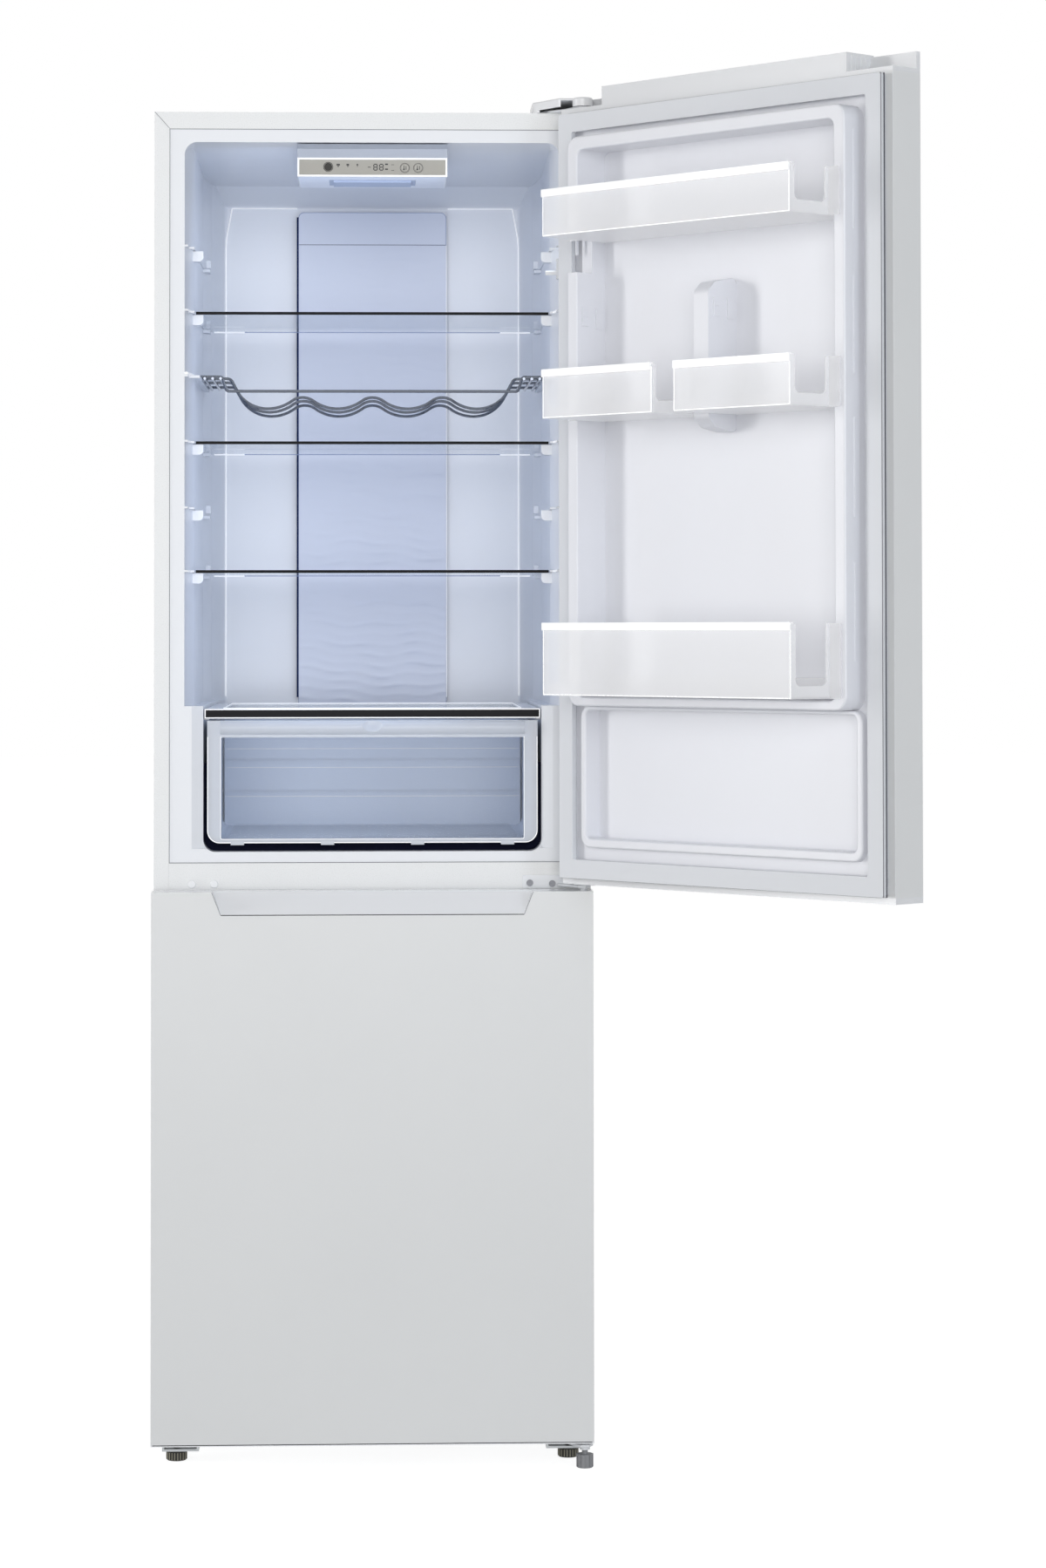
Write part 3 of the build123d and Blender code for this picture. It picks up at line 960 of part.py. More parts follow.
with BuildPart() as hinge_screws:
    for spots in (MIDDLE_SCREWS, LOW_SCREWS):
        disc(front(-2.5), spots, 4.6, 1.8)
        disc(front(0), spots, 2.4, 2.5)
        for x, z in spots:
            for a, b in ((3.0, 0.5), (0.5, 3.0)):
                block((x - a, x + a), (-5, -3.3), (z - b, z + b), Mode.SUBTRACT)
    disc(level(TOP), TOP_SCREWS, 3.0, BRACKET)
    disc(level(TOP + BRACKET), TOP_SCREWS, 5.5, 3.2)
save(hinge_screws, "hinge_screws")

# ---------------------------------------------------------------- feet
for name, x, y, r, high, stem in (
    ("foot_left", -FOOT_X, FOOT_Y, FOOT_R, FOOT_Z[1], 34.0),
    ("foot_right", FOOT_X, FOOT_Y, FOOT_R, FOOT_Z[1], 34.0),
    ("foot_hinge", PIN_X, PIN_Y, 11.5, 18.0, 32.0),
):
    with BuildPart() as foot:
        with Locations((x, y, high / 2)):
            Cylinder(r, high)
        chamfer(foot.edges().group_by(Axis.Z)[0], 1.2)
        with Locations((x, y, high / 2 + 1.5)):
            with PolarLocations(r, 12):
                Box(1.8, 2.0, high, mode=Mode.SUBTRACT)
        with Locations((x, y, (high + stem) / 2)):
            Cylinder(STEM_R, stem - high)
    save(foot, name)

# ---------------------------------------------------------------- cold and compressor parts
COIL_Y = F_BACK - 40     # front of the space behind the rear cover
FAN = (0.0, F_ROOF - 100)
with BuildPart() as freezer_rear_cover:
    half, z = F_HALF - 10, (F_STEP[1] + 8, F_ROOF - 3)
    block((-half, half), (COIL_Y - 3, COIL_Y), z)
    for m in (-1, 1):
        lo, hi = sorted((m * half, m * (half - 4)))
        block((lo, hi), (COIL_Y, F_BACK - FIT), z)
    with BuildSketch(front(COIL_Y + 1)):
        with Locations(FAN):
            with GridLocations(20, 1, 5, 1):
                Rectangle(12, 90)
        with Locations((0, z[0] + 20)):
            with GridLocations(0.18 * half, 1, 10, 1):
                Rectangle(0.11 * half, 10)
    extrude(amount=5, mode=Mode.SUBTRACT)
save(freezer_rear_cover, "freezer_rear_cover")

COIL_HALF, COIL_Z = F_HALF - 36, (F_STEP[1] + 35, FAN[1] - 100)
with BuildPart() as evaporator:
    z0, z1 = COIL_Z
    with GridLocations(COIL_HALF / 7, 1, 14, 1):
        with Locations((0, COIL_Y + 20, (z0 + z1) / 2)):
            Box(1, 28, z1 - z0 - 10)
    for m in (-1, 1):
        x = m * (COIL_HALF - 0.5)
        block((x - 0.5, x + 0.5), (COIL_Y + 6, F_BACK - FIT), COIL_Z)
    with BuildSketch(side(-COIL_HALF)):
        with Locations(*[(COIL_Y + 20, z0 + (z1 - z0) * k / 6) for k in (1, 3, 5)]):
            RegularPolygon(5, 6)
    extrude(amount=2 * COIL_HALF)
save(evaporator, "evaporator")

with BuildPart() as fan_motor:
    disc(front(F_BACK - FIT), [FAN], 22, 14)
    disc(front(F_BACK - 14), [FAN], 2, 16)
    block((-60, 60), (F_BACK - 6 - FIT, F_BACK - FIT), (FAN[1] - 6, FAN[1] + 6))
save(fan_motor, "fan_motor")

with BuildPart() as evaporator_fan:
    disc(front(F_BACK - 17), [FAN], 12, 14)
    with BuildSketch(front(F_BACK - 21)) as blades:
        with Locations(FAN):
            with PolarLocations(29, 5):
                Rectangle(42, 22)
    extrude(blades.sketch, amount=3)
    disc(front(F_BACK - 15), [FAN], 2 + RUN, 20, mode=Mode.SUBTRACT)
save(evaporator_fan, "evaporator_fan")

ROOM_Y = DEPTH - 120     # middle of the compressor room
with BuildPart() as compressor:
    with BuildSketch(Plane.XZ.offset(-ROOM_Y)):
        with BuildLine():
            Polyline((0, BASE + 18), (56, BASE + 18), (68, BASE + 36), (68, BASE + 126),
                     (52, BASE + 146), (0, BASE + 150), close=True)
        make_face()
    revolve(axis=Axis((0, ROOM_Y, 0), (0, 0, 1)))
    with Locations((0, ROOM_Y, BASE + 15)):
        Box(180, 110, 6)
save(compressor, "compressor")

with BuildPart() as compressor_mounts:
    with Locations((0, ROOM_Y, BASE + 7)):
        with GridLocations(160, 90, 2, 2):
            Cylinder(9, 10)
save(compressor_mounts, "compressor_mounts")
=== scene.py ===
"""Looks of the bottom freezer refrigerator: finishes, small fittings, lights and camera.

Everything is in metres in the part's own frame: X right, Y back, Z up from the floor.
"""
import json
import math

import bmesh
import bpy
from mathutils import Matrix, Vector


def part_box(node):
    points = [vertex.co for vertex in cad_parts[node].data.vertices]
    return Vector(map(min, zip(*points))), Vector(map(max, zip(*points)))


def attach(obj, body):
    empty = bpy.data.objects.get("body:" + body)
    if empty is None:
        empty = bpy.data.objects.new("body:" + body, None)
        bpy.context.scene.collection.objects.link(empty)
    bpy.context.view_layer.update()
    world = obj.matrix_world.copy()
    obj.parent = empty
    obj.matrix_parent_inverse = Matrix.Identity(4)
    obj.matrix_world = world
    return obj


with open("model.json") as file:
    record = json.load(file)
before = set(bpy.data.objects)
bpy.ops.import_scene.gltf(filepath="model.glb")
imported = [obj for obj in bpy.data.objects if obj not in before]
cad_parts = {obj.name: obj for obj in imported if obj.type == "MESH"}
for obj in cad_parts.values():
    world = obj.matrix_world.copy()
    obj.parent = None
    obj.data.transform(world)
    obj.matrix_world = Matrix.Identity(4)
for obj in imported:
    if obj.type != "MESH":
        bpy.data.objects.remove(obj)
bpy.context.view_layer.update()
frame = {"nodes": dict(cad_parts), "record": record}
NODES = frame["nodes"]
MM = 0.001
SIDES = (("left", -1), ("right", 1))
WHITE = (1, 1, 1, 1)

# ---------------------------------------------------------------- camera, from the photograph
IMAGE = (1200, 1799)
EYE = Vector((-0.00115, -5.4616, 1.13184))
YAW, PITCH, ROLL = (math.radians(a) for a in (2.157, 1.445, -0.069))
FOCAL_PX = 4585.9
CENTRE_PX = (599.1, 605.0)
SENSOR = 36.0
CLIP_END = 100

# The doors' hinge line, and the move that opens the refrigerator door to its place at rest
HINGE = Vector((0.286, -0.0436, 0.0))
OPEN = math.radians(131.4)
DOOR = Matrix.Translation(HINGE) @ Matrix.Rotation(OPEN, 4, "Z") @ Matrix.Translation(-HINGE)

# ---------------------------------------------------------------- materials
COLOUR_SCALE, COLOUR_DETAIL = 5, 2         # slow noise of the colour, per metre
GRAIN_SCALE, GRAIN_DETAIL = 700, 3         # fine noise of gloss and relief, per metre
COLOUR_DRIFT, GLOSS_DRIFT = 0.015, 0.15    # shares by which colour and roughness vary
RELIEF, RELIEF_DEPTH = 0.04, 0.1 * MM
CLEAR_IOR, CLEAR_BLEND = 1.45, 0.35
MIX_COLOURS, MIXED = (6, 7), 2             # colour sockets of Blender's Mix node


def linear(rgb):
    """Linear colour of an 8-bit screen colour."""
    out = []
    for v in rgb:
        v /= 255
        out.append(v / 12.92 if v <= 0.04045 else ((v + 0.055) / 1.055) ** 2.4)
    return (*out, 1.0)


def texture(tree, scale, detail):
    """Noise that stays fixed on the object; its features are about 1/scale metres."""
    coordinates = tree.nodes.new("ShaderNodeTexCoord")
    noise = tree.nodes.new("ShaderNodeTexNoise")
    noise.inputs["Scale"].default_value = scale
    noise.inputs["Detail"].default_value = detail
    tree.links.new(coordinates.outputs["Object"], noise.inputs["Vector"])
    return noise.outputs["Fac"]


def spread(tree, source, low, high):
    """Source value from 0 to 1 drawn out between two others."""
    remap = tree.nodes.new("ShaderNodeMapRange")
    remap.inputs["To Min"].default_value = low
    remap.inputs["To Max"].default_value = high
    tree.links.new(source, remap.inputs["Value"])
    return remap.outputs["Result"]


def shader(name, rgb, rough, **sockets):
    """Principled material: slow drift of its colour, and a fine grain in gloss and relief."""
    material = bpy.data.materials.new(name)
    material.use_nodes = True
    tree = material.node_tree
    bsdf = tree.nodes["Principled BSDF"]
    tint = tree.nodes.new("ShaderNodeMix")
    tint.data_type = "RGBA"
    colour = linear(rgb)
    for key, gain in zip(MIX_COLOURS, (1 - COLOUR_DRIFT, 1 + COLOUR_DRIFT)):
        tint.inputs[key].default_value = (*(min(gain * v, 1.0) for v in colour[:3]), 1.0)
    tree.links.new(texture(tree, COLOUR_SCALE, COLOUR_DETAIL), tint.inputs[0])
    tree.links.new(tint.outputs[MIXED], bsdf.inputs["Base Color"])
    grain = texture(tree, GRAIN_SCALE, GRAIN_DETAIL)
    gloss = spread(tree, grain, (1 - GLOSS_DRIFT) * rough, (1 + GLOSS_DRIFT) * rough)
    tree.links.new(gloss, bsdf.inputs["Roughness"])
    bump = tree.nodes.new("ShaderNodeBump")
    bump.inputs["Strength"].default_value = RELIEF
    bump.inputs["Distance"].default_value = RELIEF_DEPTH
    tree.links.new(grain, bump.inputs["Height"])
    tree.links.new(bump.outputs["Normal"], bsdf.inputs["Normal"])
    for key, value in sockets.items():
        bsdf.inputs[key.replace("_", " ")].default_value = value
    return material


def clear(name, rgb, rough, face, edge, **sockets):
    """See-through plastic or glass: nearly clear face on, denser at a glancing angle."""
    material = shader(name, rgb, rough, IOR=CLEAR_IOR, **sockets)
    tree = material.node_tree
    weight = tree.nodes.new("ShaderNodeLayerWeight")
    weight.inputs["Blend"].default_value = CLEAR_BLEND
    alpha = spread(tree, weight.outputs["Facing"], face, edge)
    tree.links.new(alpha, tree.nodes["Principled BSDF"].inputs["Alpha"])
    return material


MATERIALS = {
    "white_steel": shader("white_steel", (231, 232, 232), 0.28),
    "door_steel": shader("door_steel", (222, 223, 223), 0.3),
    "white_plastic": shader("white_plastic", (238, 239, 241), 0.25),
    "door_cap_plastic": shader("door_cap_plastic", (226, 227, 229), 0.2),
    "liner_plastic": shader("liner_plastic", (233, 235, 239), 0.3),
    "door_liner_plastic": shader("door_liner_plastic", (229, 230, 235), 0.3),
    "duct_plastic": shader("duct_plastic", (210, 215, 228), 0.35),
    "foam": shader("foam", (225, 215, 170), 0.9),
    "galvanised_steel": shader("galvanised_steel", (175, 178, 180), 0.45, Metallic=0.8),
    "zinc_bracket": shader("zinc_bracket", (214, 216, 219), 0.45, Metallic=0.2),
    "screw_steel": shader("screw_steel", (112, 113, 118), 0.4, Metallic=0.6),
    "seal_rubber": shader("seal_rubber", (221, 223, 227), 0.5),
    "black_rubber": shader("black_rubber", (30, 30, 32), 0.8),
    "dark_plastic": shader("dark_plastic", (36, 34, 29), 0.6),
    "grey_plastic": shader("grey_plastic", (136, 137, 140), 0.5),
    "navy_strip": shader("navy_strip", (16, 16, 20), 0.4, Specular_IOR_Level=0.1),
    # The clear plastic glows a little: painted light that makes the bins brighter than the lamps alone would.
    "clear_plastic": clear(
        "clear_plastic", (252, 252, 254), 0.3, 0.3, 0.62, Emission_Color=WHITE, Emission_Strength=0.05
    ),
    "milky_plastic": clear("milky_plastic", (230, 235, 244), 0.2, 0.6, 0.95),
    "shelf_glass": clear("shelf_glass", (214, 226, 238), 0.03, 0.06, 0.4),
    # The rim plastic glows a little: painted highlight, whiter than the lamps make it.
    "rim_plastic": shader(
        "rim_plastic", (252, 252, 252), 0.2, Emission_Color=WHITE, Emission_Strength=0.12
    ),
    # The lamp's lens is given the darker blue-grey of the shaded ceiling round it: painted shade.
    "lamp_plastic": shader("lamp_plastic", (184, 192, 208), 0.7),
    "chrome_wire": shader("chrome_wire", (112, 117, 127), 0.14, Metallic=1.0),
    "panel_face": shader("panel_face", (176, 173, 165), 0.5),
    "button_plastic": shader("button_plastic", (176, 173, 165), 0.4),
    "black_steel": shader("black_steel", (24, 24, 26), 0.4),
    "fin_aluminium": shader("fin_aluminium", (205, 207, 210), 0.35, Metallic=0.9),
}
DARK_EDGE = shader("dark_edge", (8, 8, 10), 0.4, Specular_IOR_Level=0.1)
PRINT = shader("print_dark", (26, 26, 29), 0.5)
RING_GREY = shader("ring_grey", (104, 103, 102), 0.5)
# Dark blue for a sheet painted as shadow in the gap left of the duct panel, and for the duct's real seam.
SHADOW_AND_SEAM_BLUE = shader("shadow_and_seam_blue", (40, 50, 84), 0.9, Specular_IOR_Level=0.0)
# Near-black blue for a sheet painted as shadow in the gap between the crisper drawer and its recess.
PAINTED_SHADOW_NAVY = shader("painted_shadow_navy", (22, 24, 40), 0.9, Specular_IOR_Level=0.0)
SEAM_GREY = shader("seam_grey", (140, 141, 146), 0.8, Specular_IOR_Level=0.0)
# Liner blue-white darkened as painted shade, for the sloped ceiling above the control panel.
PAINTED_SHADE_BLUE = shader("painted_shade_blue", (186, 193, 207), 0.45)
FROSTED = shader("frosted_plastic", (198, 208, 224), 0.3)
TUB = clear("tub_plastic", (214, 224, 242), 0.05, 0.05, 0.5)
TRIM_BLUE = shader("trim_blue", (132, 146, 184), 0.4)
# White that glows a little: painted highlights on the bins' edges, shelf clips, wall guides, the crisper
# cover's frame and ridge, and the back wall's corners.
GLOWING_WHITE_LINE = shader("glowing_white_line", (252, 252, 252), 0.3, Emission_Color=WHITE, Emission_Strength=0.25)
# Greys for painted shade: in the folds and along the edges of the seal, under the grip's lip, along the
# grip's sides and at the freezer door's foot.
FOLD_SHADE_GREY = shader("fold_shade_grey", (96, 96, 102), 0.8, Specular_IOR_Level=0.0)
LIP_SHADE_GREY = shader("lip_shade_grey", (56, 57, 61), 0.7, Specular_IOR_Level=0.0)
EDGE_SHADE_GREY = shader("edge_shade_grey", (150, 150, 155), 0.8, Specular_IOR_Level=0.0)
RIB_OLIVE = shader("rib_olive", (150, 146, 128), 0.5)
GRIP_WHITE = shader("grip_white", (240, 241, 243), 0.12)
# Glowing rim plastic for thin lines: painted highlights on the panel's frame, the duct's right edge and the
# crisper's outlines.
GLOWING_RIM_WHITE = MATERIALS["rim_plastic"]
OWN_FINISH = {
    "crisper_drawer": TUB, "control_housing": MATERIALS["liner_plastic"], "freezer_door_caps": GRIP_WHITE,
}

for entry in frame["record"]["subparts"]:
    for slot in NODES[entry["node"]].material_slots:
        slot.material = OWN_FINISH.get(entry["node"], MATERIALS[entry["material_slot"]])


# ---------------------------------------------------------------- shapes
def about(base, distances):
    """Two places at signed distances from a base."""
    return tuple(base + d for d in distances)


def mirrored(places, m):
    """Range between two places of the right side, or its mirror image where m is -1."""
    return sorted(m * v for v in places)


def turn_outwards(mesh):
    """Turn the faces of a closed mesh so that they all look outwards."""
    work = bmesh.new()
    work.from_mesh(mesh)
    bmesh.ops.recalc_face_normals(work, faces=work.faces)
    work.to_mesh(mesh)
    work.free()


def piece(name, verts, faces, body, material, slot, sheet=False):
    """New piece of the object, riding on a body: a closed shape or a smooth open sheet."""
    mesh = bpy.data.meshes.new(name)
    mesh.from_pydata([tuple(v) for v in verts], [], faces)
    if sheet:
        mesh.shade_smooth()
    else:
        turn_outwards(mesh)
    mesh.update()
    mesh.materials.append(material)
    obj = bpy.data.objects.new(name, mesh)
    bpy.context.scene.collection.objects.link(obj)
    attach(obj, body)


def box_mesh(x, y, z):
    """Box between two places on each axis."""
    verts = [(a, b, c) for a in x for b in y for c in z]
    faces = [(0, 1, 3, 2), (4, 6, 7, 5), (0, 4, 5, 1), (2, 3, 7, 6), (0, 2, 6, 4), (1, 5, 7, 3)]
    return verts, faces


def box_piece(name, x, y, z, body, material, slot):
    """Box on a body."""
    piece(name, *box_mesh(x, y, z), body, material, slot)


def door_box(name, x, y, z, material, slot, body="fridge_door"):
    """Box on the refrigerator door; its sides are in millimetres with the door closed."""
    verts, faces = box_mesh(*([v * MM for v in side] for side in (x, y, z)))
    piece(name, [DOOR @ Vector(v) for v in verts], faces, body, material, slot)


def prism(first, second):
    """Bar between two ends of four corners."""
    faces = [(3, 2, 1, 0), (4, 5, 6, 7)]
    for i in range(4):
        j = (i + 1) % 4
        faces.append((i, j, j + 4, i + 4))
    return first + second, faces


def arch(half, low, top):
    """Points in x and z up the left side, across the top and down the right side."""
    return [(-half, low), (-half, top), (half, top), (half, low)]


def loop(half, low, top):
    """Closed rectangle in x and z."""
    return [*arch(half, low, top), (-half, low)]


CORNER_STEPS = 8


def u_outline(half, low, radius, top):
    """Points of a U in x and z, from its left top round below to its right top."""
    left = [(-half, top)]
    for k in range(CORNER_STEPS + 1):
        turn = math.pi * (1 + k / CORNER_STEPS / 2)
        left.append((-half + radius * (1 + math.cos(turn)), low + radius * (1 + math.sin(turn))))
    return left + [(-x, z) for x, z in reversed(left)]


def band(name, first, second, y, body, material, slot):
    """Upright band between two lines in x and z, from depth y[0] to y[1]."""
    count = len(first)
    verts = [(x, depth, z) for depth in y for line in (first, second) for x, z in line]
    faces = []
    for i in range(count - 1):
        j = i + 1
        faces += [
            (i, j, count + j, count + i),
            (2 * count + j, 2 * count + i, 3 * count + i, 3 * count + j),
            (j, i, 2 * count + i, 2 * count + j),
            (count + i, count + j, 3 * count + j, 3 * count + i),
        ]
    faces += [(i, count + i, 3 * count + i, 2 * count + i) for i in (0, count - 1)]
    piece(name, verts, faces, body, material, slot)


def u_band(name, half, low, radius, top, insets, y, body, material, slot):
    """Band along a U, between two distances inside it."""
    lines = (u_outline(half - d, low + d, radius - d, top) for d in insets)
    band(name, *lines, y, body, material, slot)


RIPPLE_STEP = (0.005, 0.0025)    # across and up


def ripple_mesh(x, z, y, height):
    """Upright sheet at depth y that height(x, z) moves towards the front."""
    columns, rows = (round((side[1] - side[0]) / step) for side, step in zip((x, z), RIPPLE_STEP))
    verts = []
    for j in range(rows + 1):
        for i in range(columns + 1):
            a, b = x[0] + (x[1] - x[0]) * i / columns, z[0] + (z[1] - z[0]) * j / rows
            verts.append((a, y - height(a, b), b))
    wide = columns + 1
    corners = [j * wide + i for j in range(rows) for i in range(columns)]
    return verts, [(c, c + 1, c + 1 + wide, c + wide) for c in corners]


def phase(x, z, wave, *bends):
    """Phase of a wave at a place.

    The wave has its radians per metre across and up; each slower bend has its swing first.
    """
    total = wave[0] * x + wave[1] * z
    for swing, across, up in bends:
        total += swing * math.sin(across * x + up * z)
    return total


def ridge(*where):
    """Sharp ridge: 1 along the lines where the wave is zero, 0 between them."""
    return (1 - abs(math.sin(phase(*where)))) ** 2


# ---------------------------------------------------------------- refrigerator door
# Lines of the door, in millimetres with the door closed
SEAL_X, SEAL_Z, SEAL_Y = 289.0, (796.0, 1826.0), (-1.9, -0.45)
SEAL_EDGE, SEAL_FOLD = (-0.3, 0.9), (-0.3, 0.3)    # across, from the seal's left side
FOLD_Y = (-8.5, -6.3)
FOOT_IN = 3.0
EDGE_X, EDGE_Y, EDGE_Z = (-297.4, -296.5), (-14.8, -14.3), (796.0, 1828.0)
BIN_X, BIN_Y = 221.0, 94.4
MID_BIN = 20.5           # inner end of the half bins' front plates
BIN_ENDS = {
    "bin_top": (-BIN_X, BIN_X), "bin_middle_left": (MID_BIN, BIN_X),
    "bin_middle_right": (-BIN_X, -MID_BIN), "bin_bottom": (-BIN_X, BIN_X),
}
BIN_EDGE_X, BIN_EDGE_Y, BIN_FOOT_Y = (-0.6, 0.6), (-0.6, 0.1), (-0.8, 0.1)
BIN_LOW, BIN_HIGH, BIN_FOOT = 0.6, 4.0, 1.2


def door_lines():
    """Fine lines of the open door: painted shade in the folds and along the edge and foot of the seal, a
    painted highlight along the edge of its steel, and glowing painted highlights on the edges of the bins.
    """
    door_box("seal_edge", about(-SEAL_X, SEAL_EDGE), SEAL_Y, SEAL_Z, EDGE_SHADE_GREY, "seal_rubber")
    door_box("seal_fold", about(-SEAL_X, SEAL_FOLD), FOLD_Y, SEAL_Z, FOLD_SHADE_GREY, "seal_rubber")
    door_box("seal_foot", (FOOT_IN - SEAL_X, SEAL_X - FOOT_IN), SEAL_Y, about(SEAL_Z[0], SEAL_EDGE),
             FOLD_SHADE_GREY, "seal_rubber")
    # Painted highlight: a white strip along the edge of the door's steel.
    door_box("steel_edge", EDGE_X, EDGE_Y, EDGE_Z, MATERIALS["white_plastic"], "white_plastic")
    for name, ends in BIN_ENDS.items():
        lo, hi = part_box(name)
        z = (lo[2] / MM + BIN_LOW, hi[2] / MM - BIN_HIGH)
        for side, x in zip(("right", "left"), ends):
            door_box(f"{name}_edge_{side}", about(x, BIN_EDGE_X), about(BIN_Y, BIN_EDGE_Y), z,
                     GLOWING_WHITE_LINE, "rim_plastic", body=name)
        door_box(f"{name}_foot", ends, about(BIN_Y, BIN_FOOT_Y), (z[0], z[0] + BIN_FOOT),
                 GLOWING_WHITE_LINE, "rim_plastic", body=name)


# Sheet in the lower recess, in metres with the door closed
LOW_X, LOW_Z, LOW_Y = (-0.236, 0.236), (0.856, 1.016), -29.9 * MM
LOW_HIGH = 0.12 * MM
STROKES, STROKE_BEND = (260, -260), (1.4, 43, 57)
FADES = (83, 83)


def low_ripple(x, z):
    """Faint slanting strokes."""
    fade = 0.5 + 0.5 * math.sin(phase(x, z, FADES))
    return LOW_HIGH * ridge(x, z, STROKES, STROKE_BEND) * fade


def low_panel():
    """Finely embossed sheet in the door's lower recess."""
    verts, faces = ripple_mesh(LOW_X, LOW_Z, 0, low_ripple)
    verts = [DOOR @ Vector((x, LOW_Y - y, z)) for x, y, z in verts]
    piece("low_panel_face", verts, [face[::-1] for face in faces], "fridge_door",
          MATERIALS["door_liner_plastic"], "door_liner_plastic", sheet=True)


# ---------------------------------------------------------------- freezer door and feet
FRONT_Y, FRONT_X = -66.7 * MM, 295 * MM
LINE_Y = about(FRONT_Y, (-0.1 * MM, 0.4 * MM))
FREEZER_FOOT, GRIP_LIP = (-0.6 * MM, 0.5 * MM), (-0.6 * MM, 0.4 * MM)
GRIP_X, GRIP_SPREAD = 204 * MM, 12 * MM
GRIP_Z, GRIP_TOP, GRIP_LINE = 746.3 * MM, 776.8 * MM, 0.8 * MM


def freezer_lines():
    """Painted shade: dark lines under the grip's lip, along the grip's sides and at the freezer door's foot.
    """
    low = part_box("freezer_door_skin")[0][2]
    box_piece("freezer_foot", (-FRONT_X, FRONT_X), LINE_Y, about(low, FREEZER_FOOT),
              "freezer_door", LIP_SHADE_GREY, "door_steel")
    box_piece("grip_lip", (-GRIP_X, GRIP_X), LINE_Y, about(GRIP_Z, GRIP_LIP),
              "freezer_door", LIP_SHADE_GREY, "door_steel")
    for side, m in SIDES:
        inner = [(m * GRIP_X, GRIP_Z), (m * (GRIP_X + GRIP_SPREAD), GRIP_TOP)]
        outer = [(x + m * GRIP_LINE, z) for x, z in inner]
        band(f"grip_side_{side}", outer, inner, LINE_Y, "freezer_door", EDGE_SHADE_GREY, "door_steel")


RIBS = 22
RIB_OUT = (-0.5 * MM, 0.35 * MM)    # from the foot's radius
RIB_WIDE, RIB_Z = (-0.6 * MM, 0.6 * MM), (1.5 * MM, 11 * MM)


def foot_ribs():
    """Upright ribs round the two dark feet."""
    for name in ("foot_left", "foot_right"):
        lo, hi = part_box(name)
        middle = Vector(((lo[0] + hi[0]) / 2, (lo[1] + hi[1]) / 2, 0))
        rib, sides = box_mesh(about((hi[0] - lo[0]) / 2, RIB_OUT), RIB_WIDE, RIB_Z)
        verts, faces = [], []
        for k in range(RIBS):
            spin = Matrix.Rotation(2 * math.pi * k / RIBS, 3, "Z")
            faces += [tuple(len(verts) + i for i in face) for face in sides]
            verts += [middle + spin @ Vector(v) for v in rib]
        piece(f"{name}_ribs", verts, faces, name, RIB_OLIVE, "dark_plastic")


# ---------------------------------------------------------------- shelves and walls
# Lines on a shelf's glass: y from its front or back edge, z from its underside
SHELF_EDGE_Y = (-0.4 * MM, 0.3 * MM)
TRIM_Y, TRIM_Z = (-0.4 * MM, 0.4 * MM), (-0.4 * MM, 0.8 * MM)
CLIP_X, CLIP_Y, CLIP_Z = (0.187, 0.231), (-1.5 * MM, 1.0 * MM), (-1.1 * MM, 0.9 * MM)
OPENING = 0.2565         # half width of the refrigerator's opening
BEND = 0.2481            # the same at the depth where the guides end
GUIDE_FRONT, GUIDE_DEEP = 2 * MM, 60 * MM
GUIDE_IN, GUIDE_TIP = 4.5 * MM, 2.25 * MM    # how far a guide stands out, in front and at its end
GUIDE_Z = (-1.2 * MM, 1.2 * MM)
RACK_GUIDE = 3 * MM      # below the rack's top


def shelf_edges():
    """Dark front edge, blue back edge and white clips of each shelf, the clips glowing as painted highlights;
    glowing guides on the walls.
    """
    for n in (1, 2, 3):
        lo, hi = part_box(f"shelf_glass_{n}")
        body = f"shelf_{n}"
        box_piece(f"shelf_edge_{n}", (lo[0], hi[0]), about(lo[1], SHELF_EDGE_Y), (lo[2], hi[2]),
                  body, DARK_EDGE, "black_steel")
        box_piece(f"shelf_trim_{n}", (-CLIP_X[0], CLIP_X[0]), about(hi[1], TRIM_Y), about(lo[2], TRIM_Z),
                  body, TRIM_BLUE, "liner_plastic")
        for side, m in SIDES:
            box_piece(f"shelf_clip_{n}_{side}", mirrored(CLIP_X, m), about(hi[1], CLIP_Y),
                      about(lo[2], CLIP_Z), body, GLOWING_WHITE_LINE, "rim_plastic")
        guides(f"shelf_guide_{n}", (lo[2] + hi[2]) / 2)
    guides("rack_guide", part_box("wine_rack")[1][2] - RACK_GUIDE)


def guides(name, z):
    """Glowing white line painted as highlight on both side walls, from the front to where the shelf starts.
    """
    plan = (
        (OPENING, GUIDE_FRONT), (OPENING - GUIDE_IN, GUIDE_FRONT),
        (BEND - GUIDE_TIP, GUIDE_DEEP), (BEND, GUIDE_DEEP),
    )
    for side, m in SIDES:
        ends = ([(m * x, y, height) for x, y in plan] for height in about(z, GUIDE_Z))
        piece(f"{name}_{side}", *prism(*ends), "cabinet", GLOWING_WHITE_LINE, "rim_plastic")


BACK_HALF, BACK_WALL = 0.2172, 0.4802
BACK_TOP, BEND_Z, BEND_IN = 1.7562, 1.713, 0.009
LEAN_X, LEAN_Z = 0.001, 0.015    # how the painted highlight starts to lean below the bend
HIGHLIGHT_WIDE, TOP_HIGHLIGHT_WIDE = 0.6 * MM, 0.4 * MM
HIGHLIGHT_START, TOP_HIGHLIGHT_X = 10 * MM, 0.112


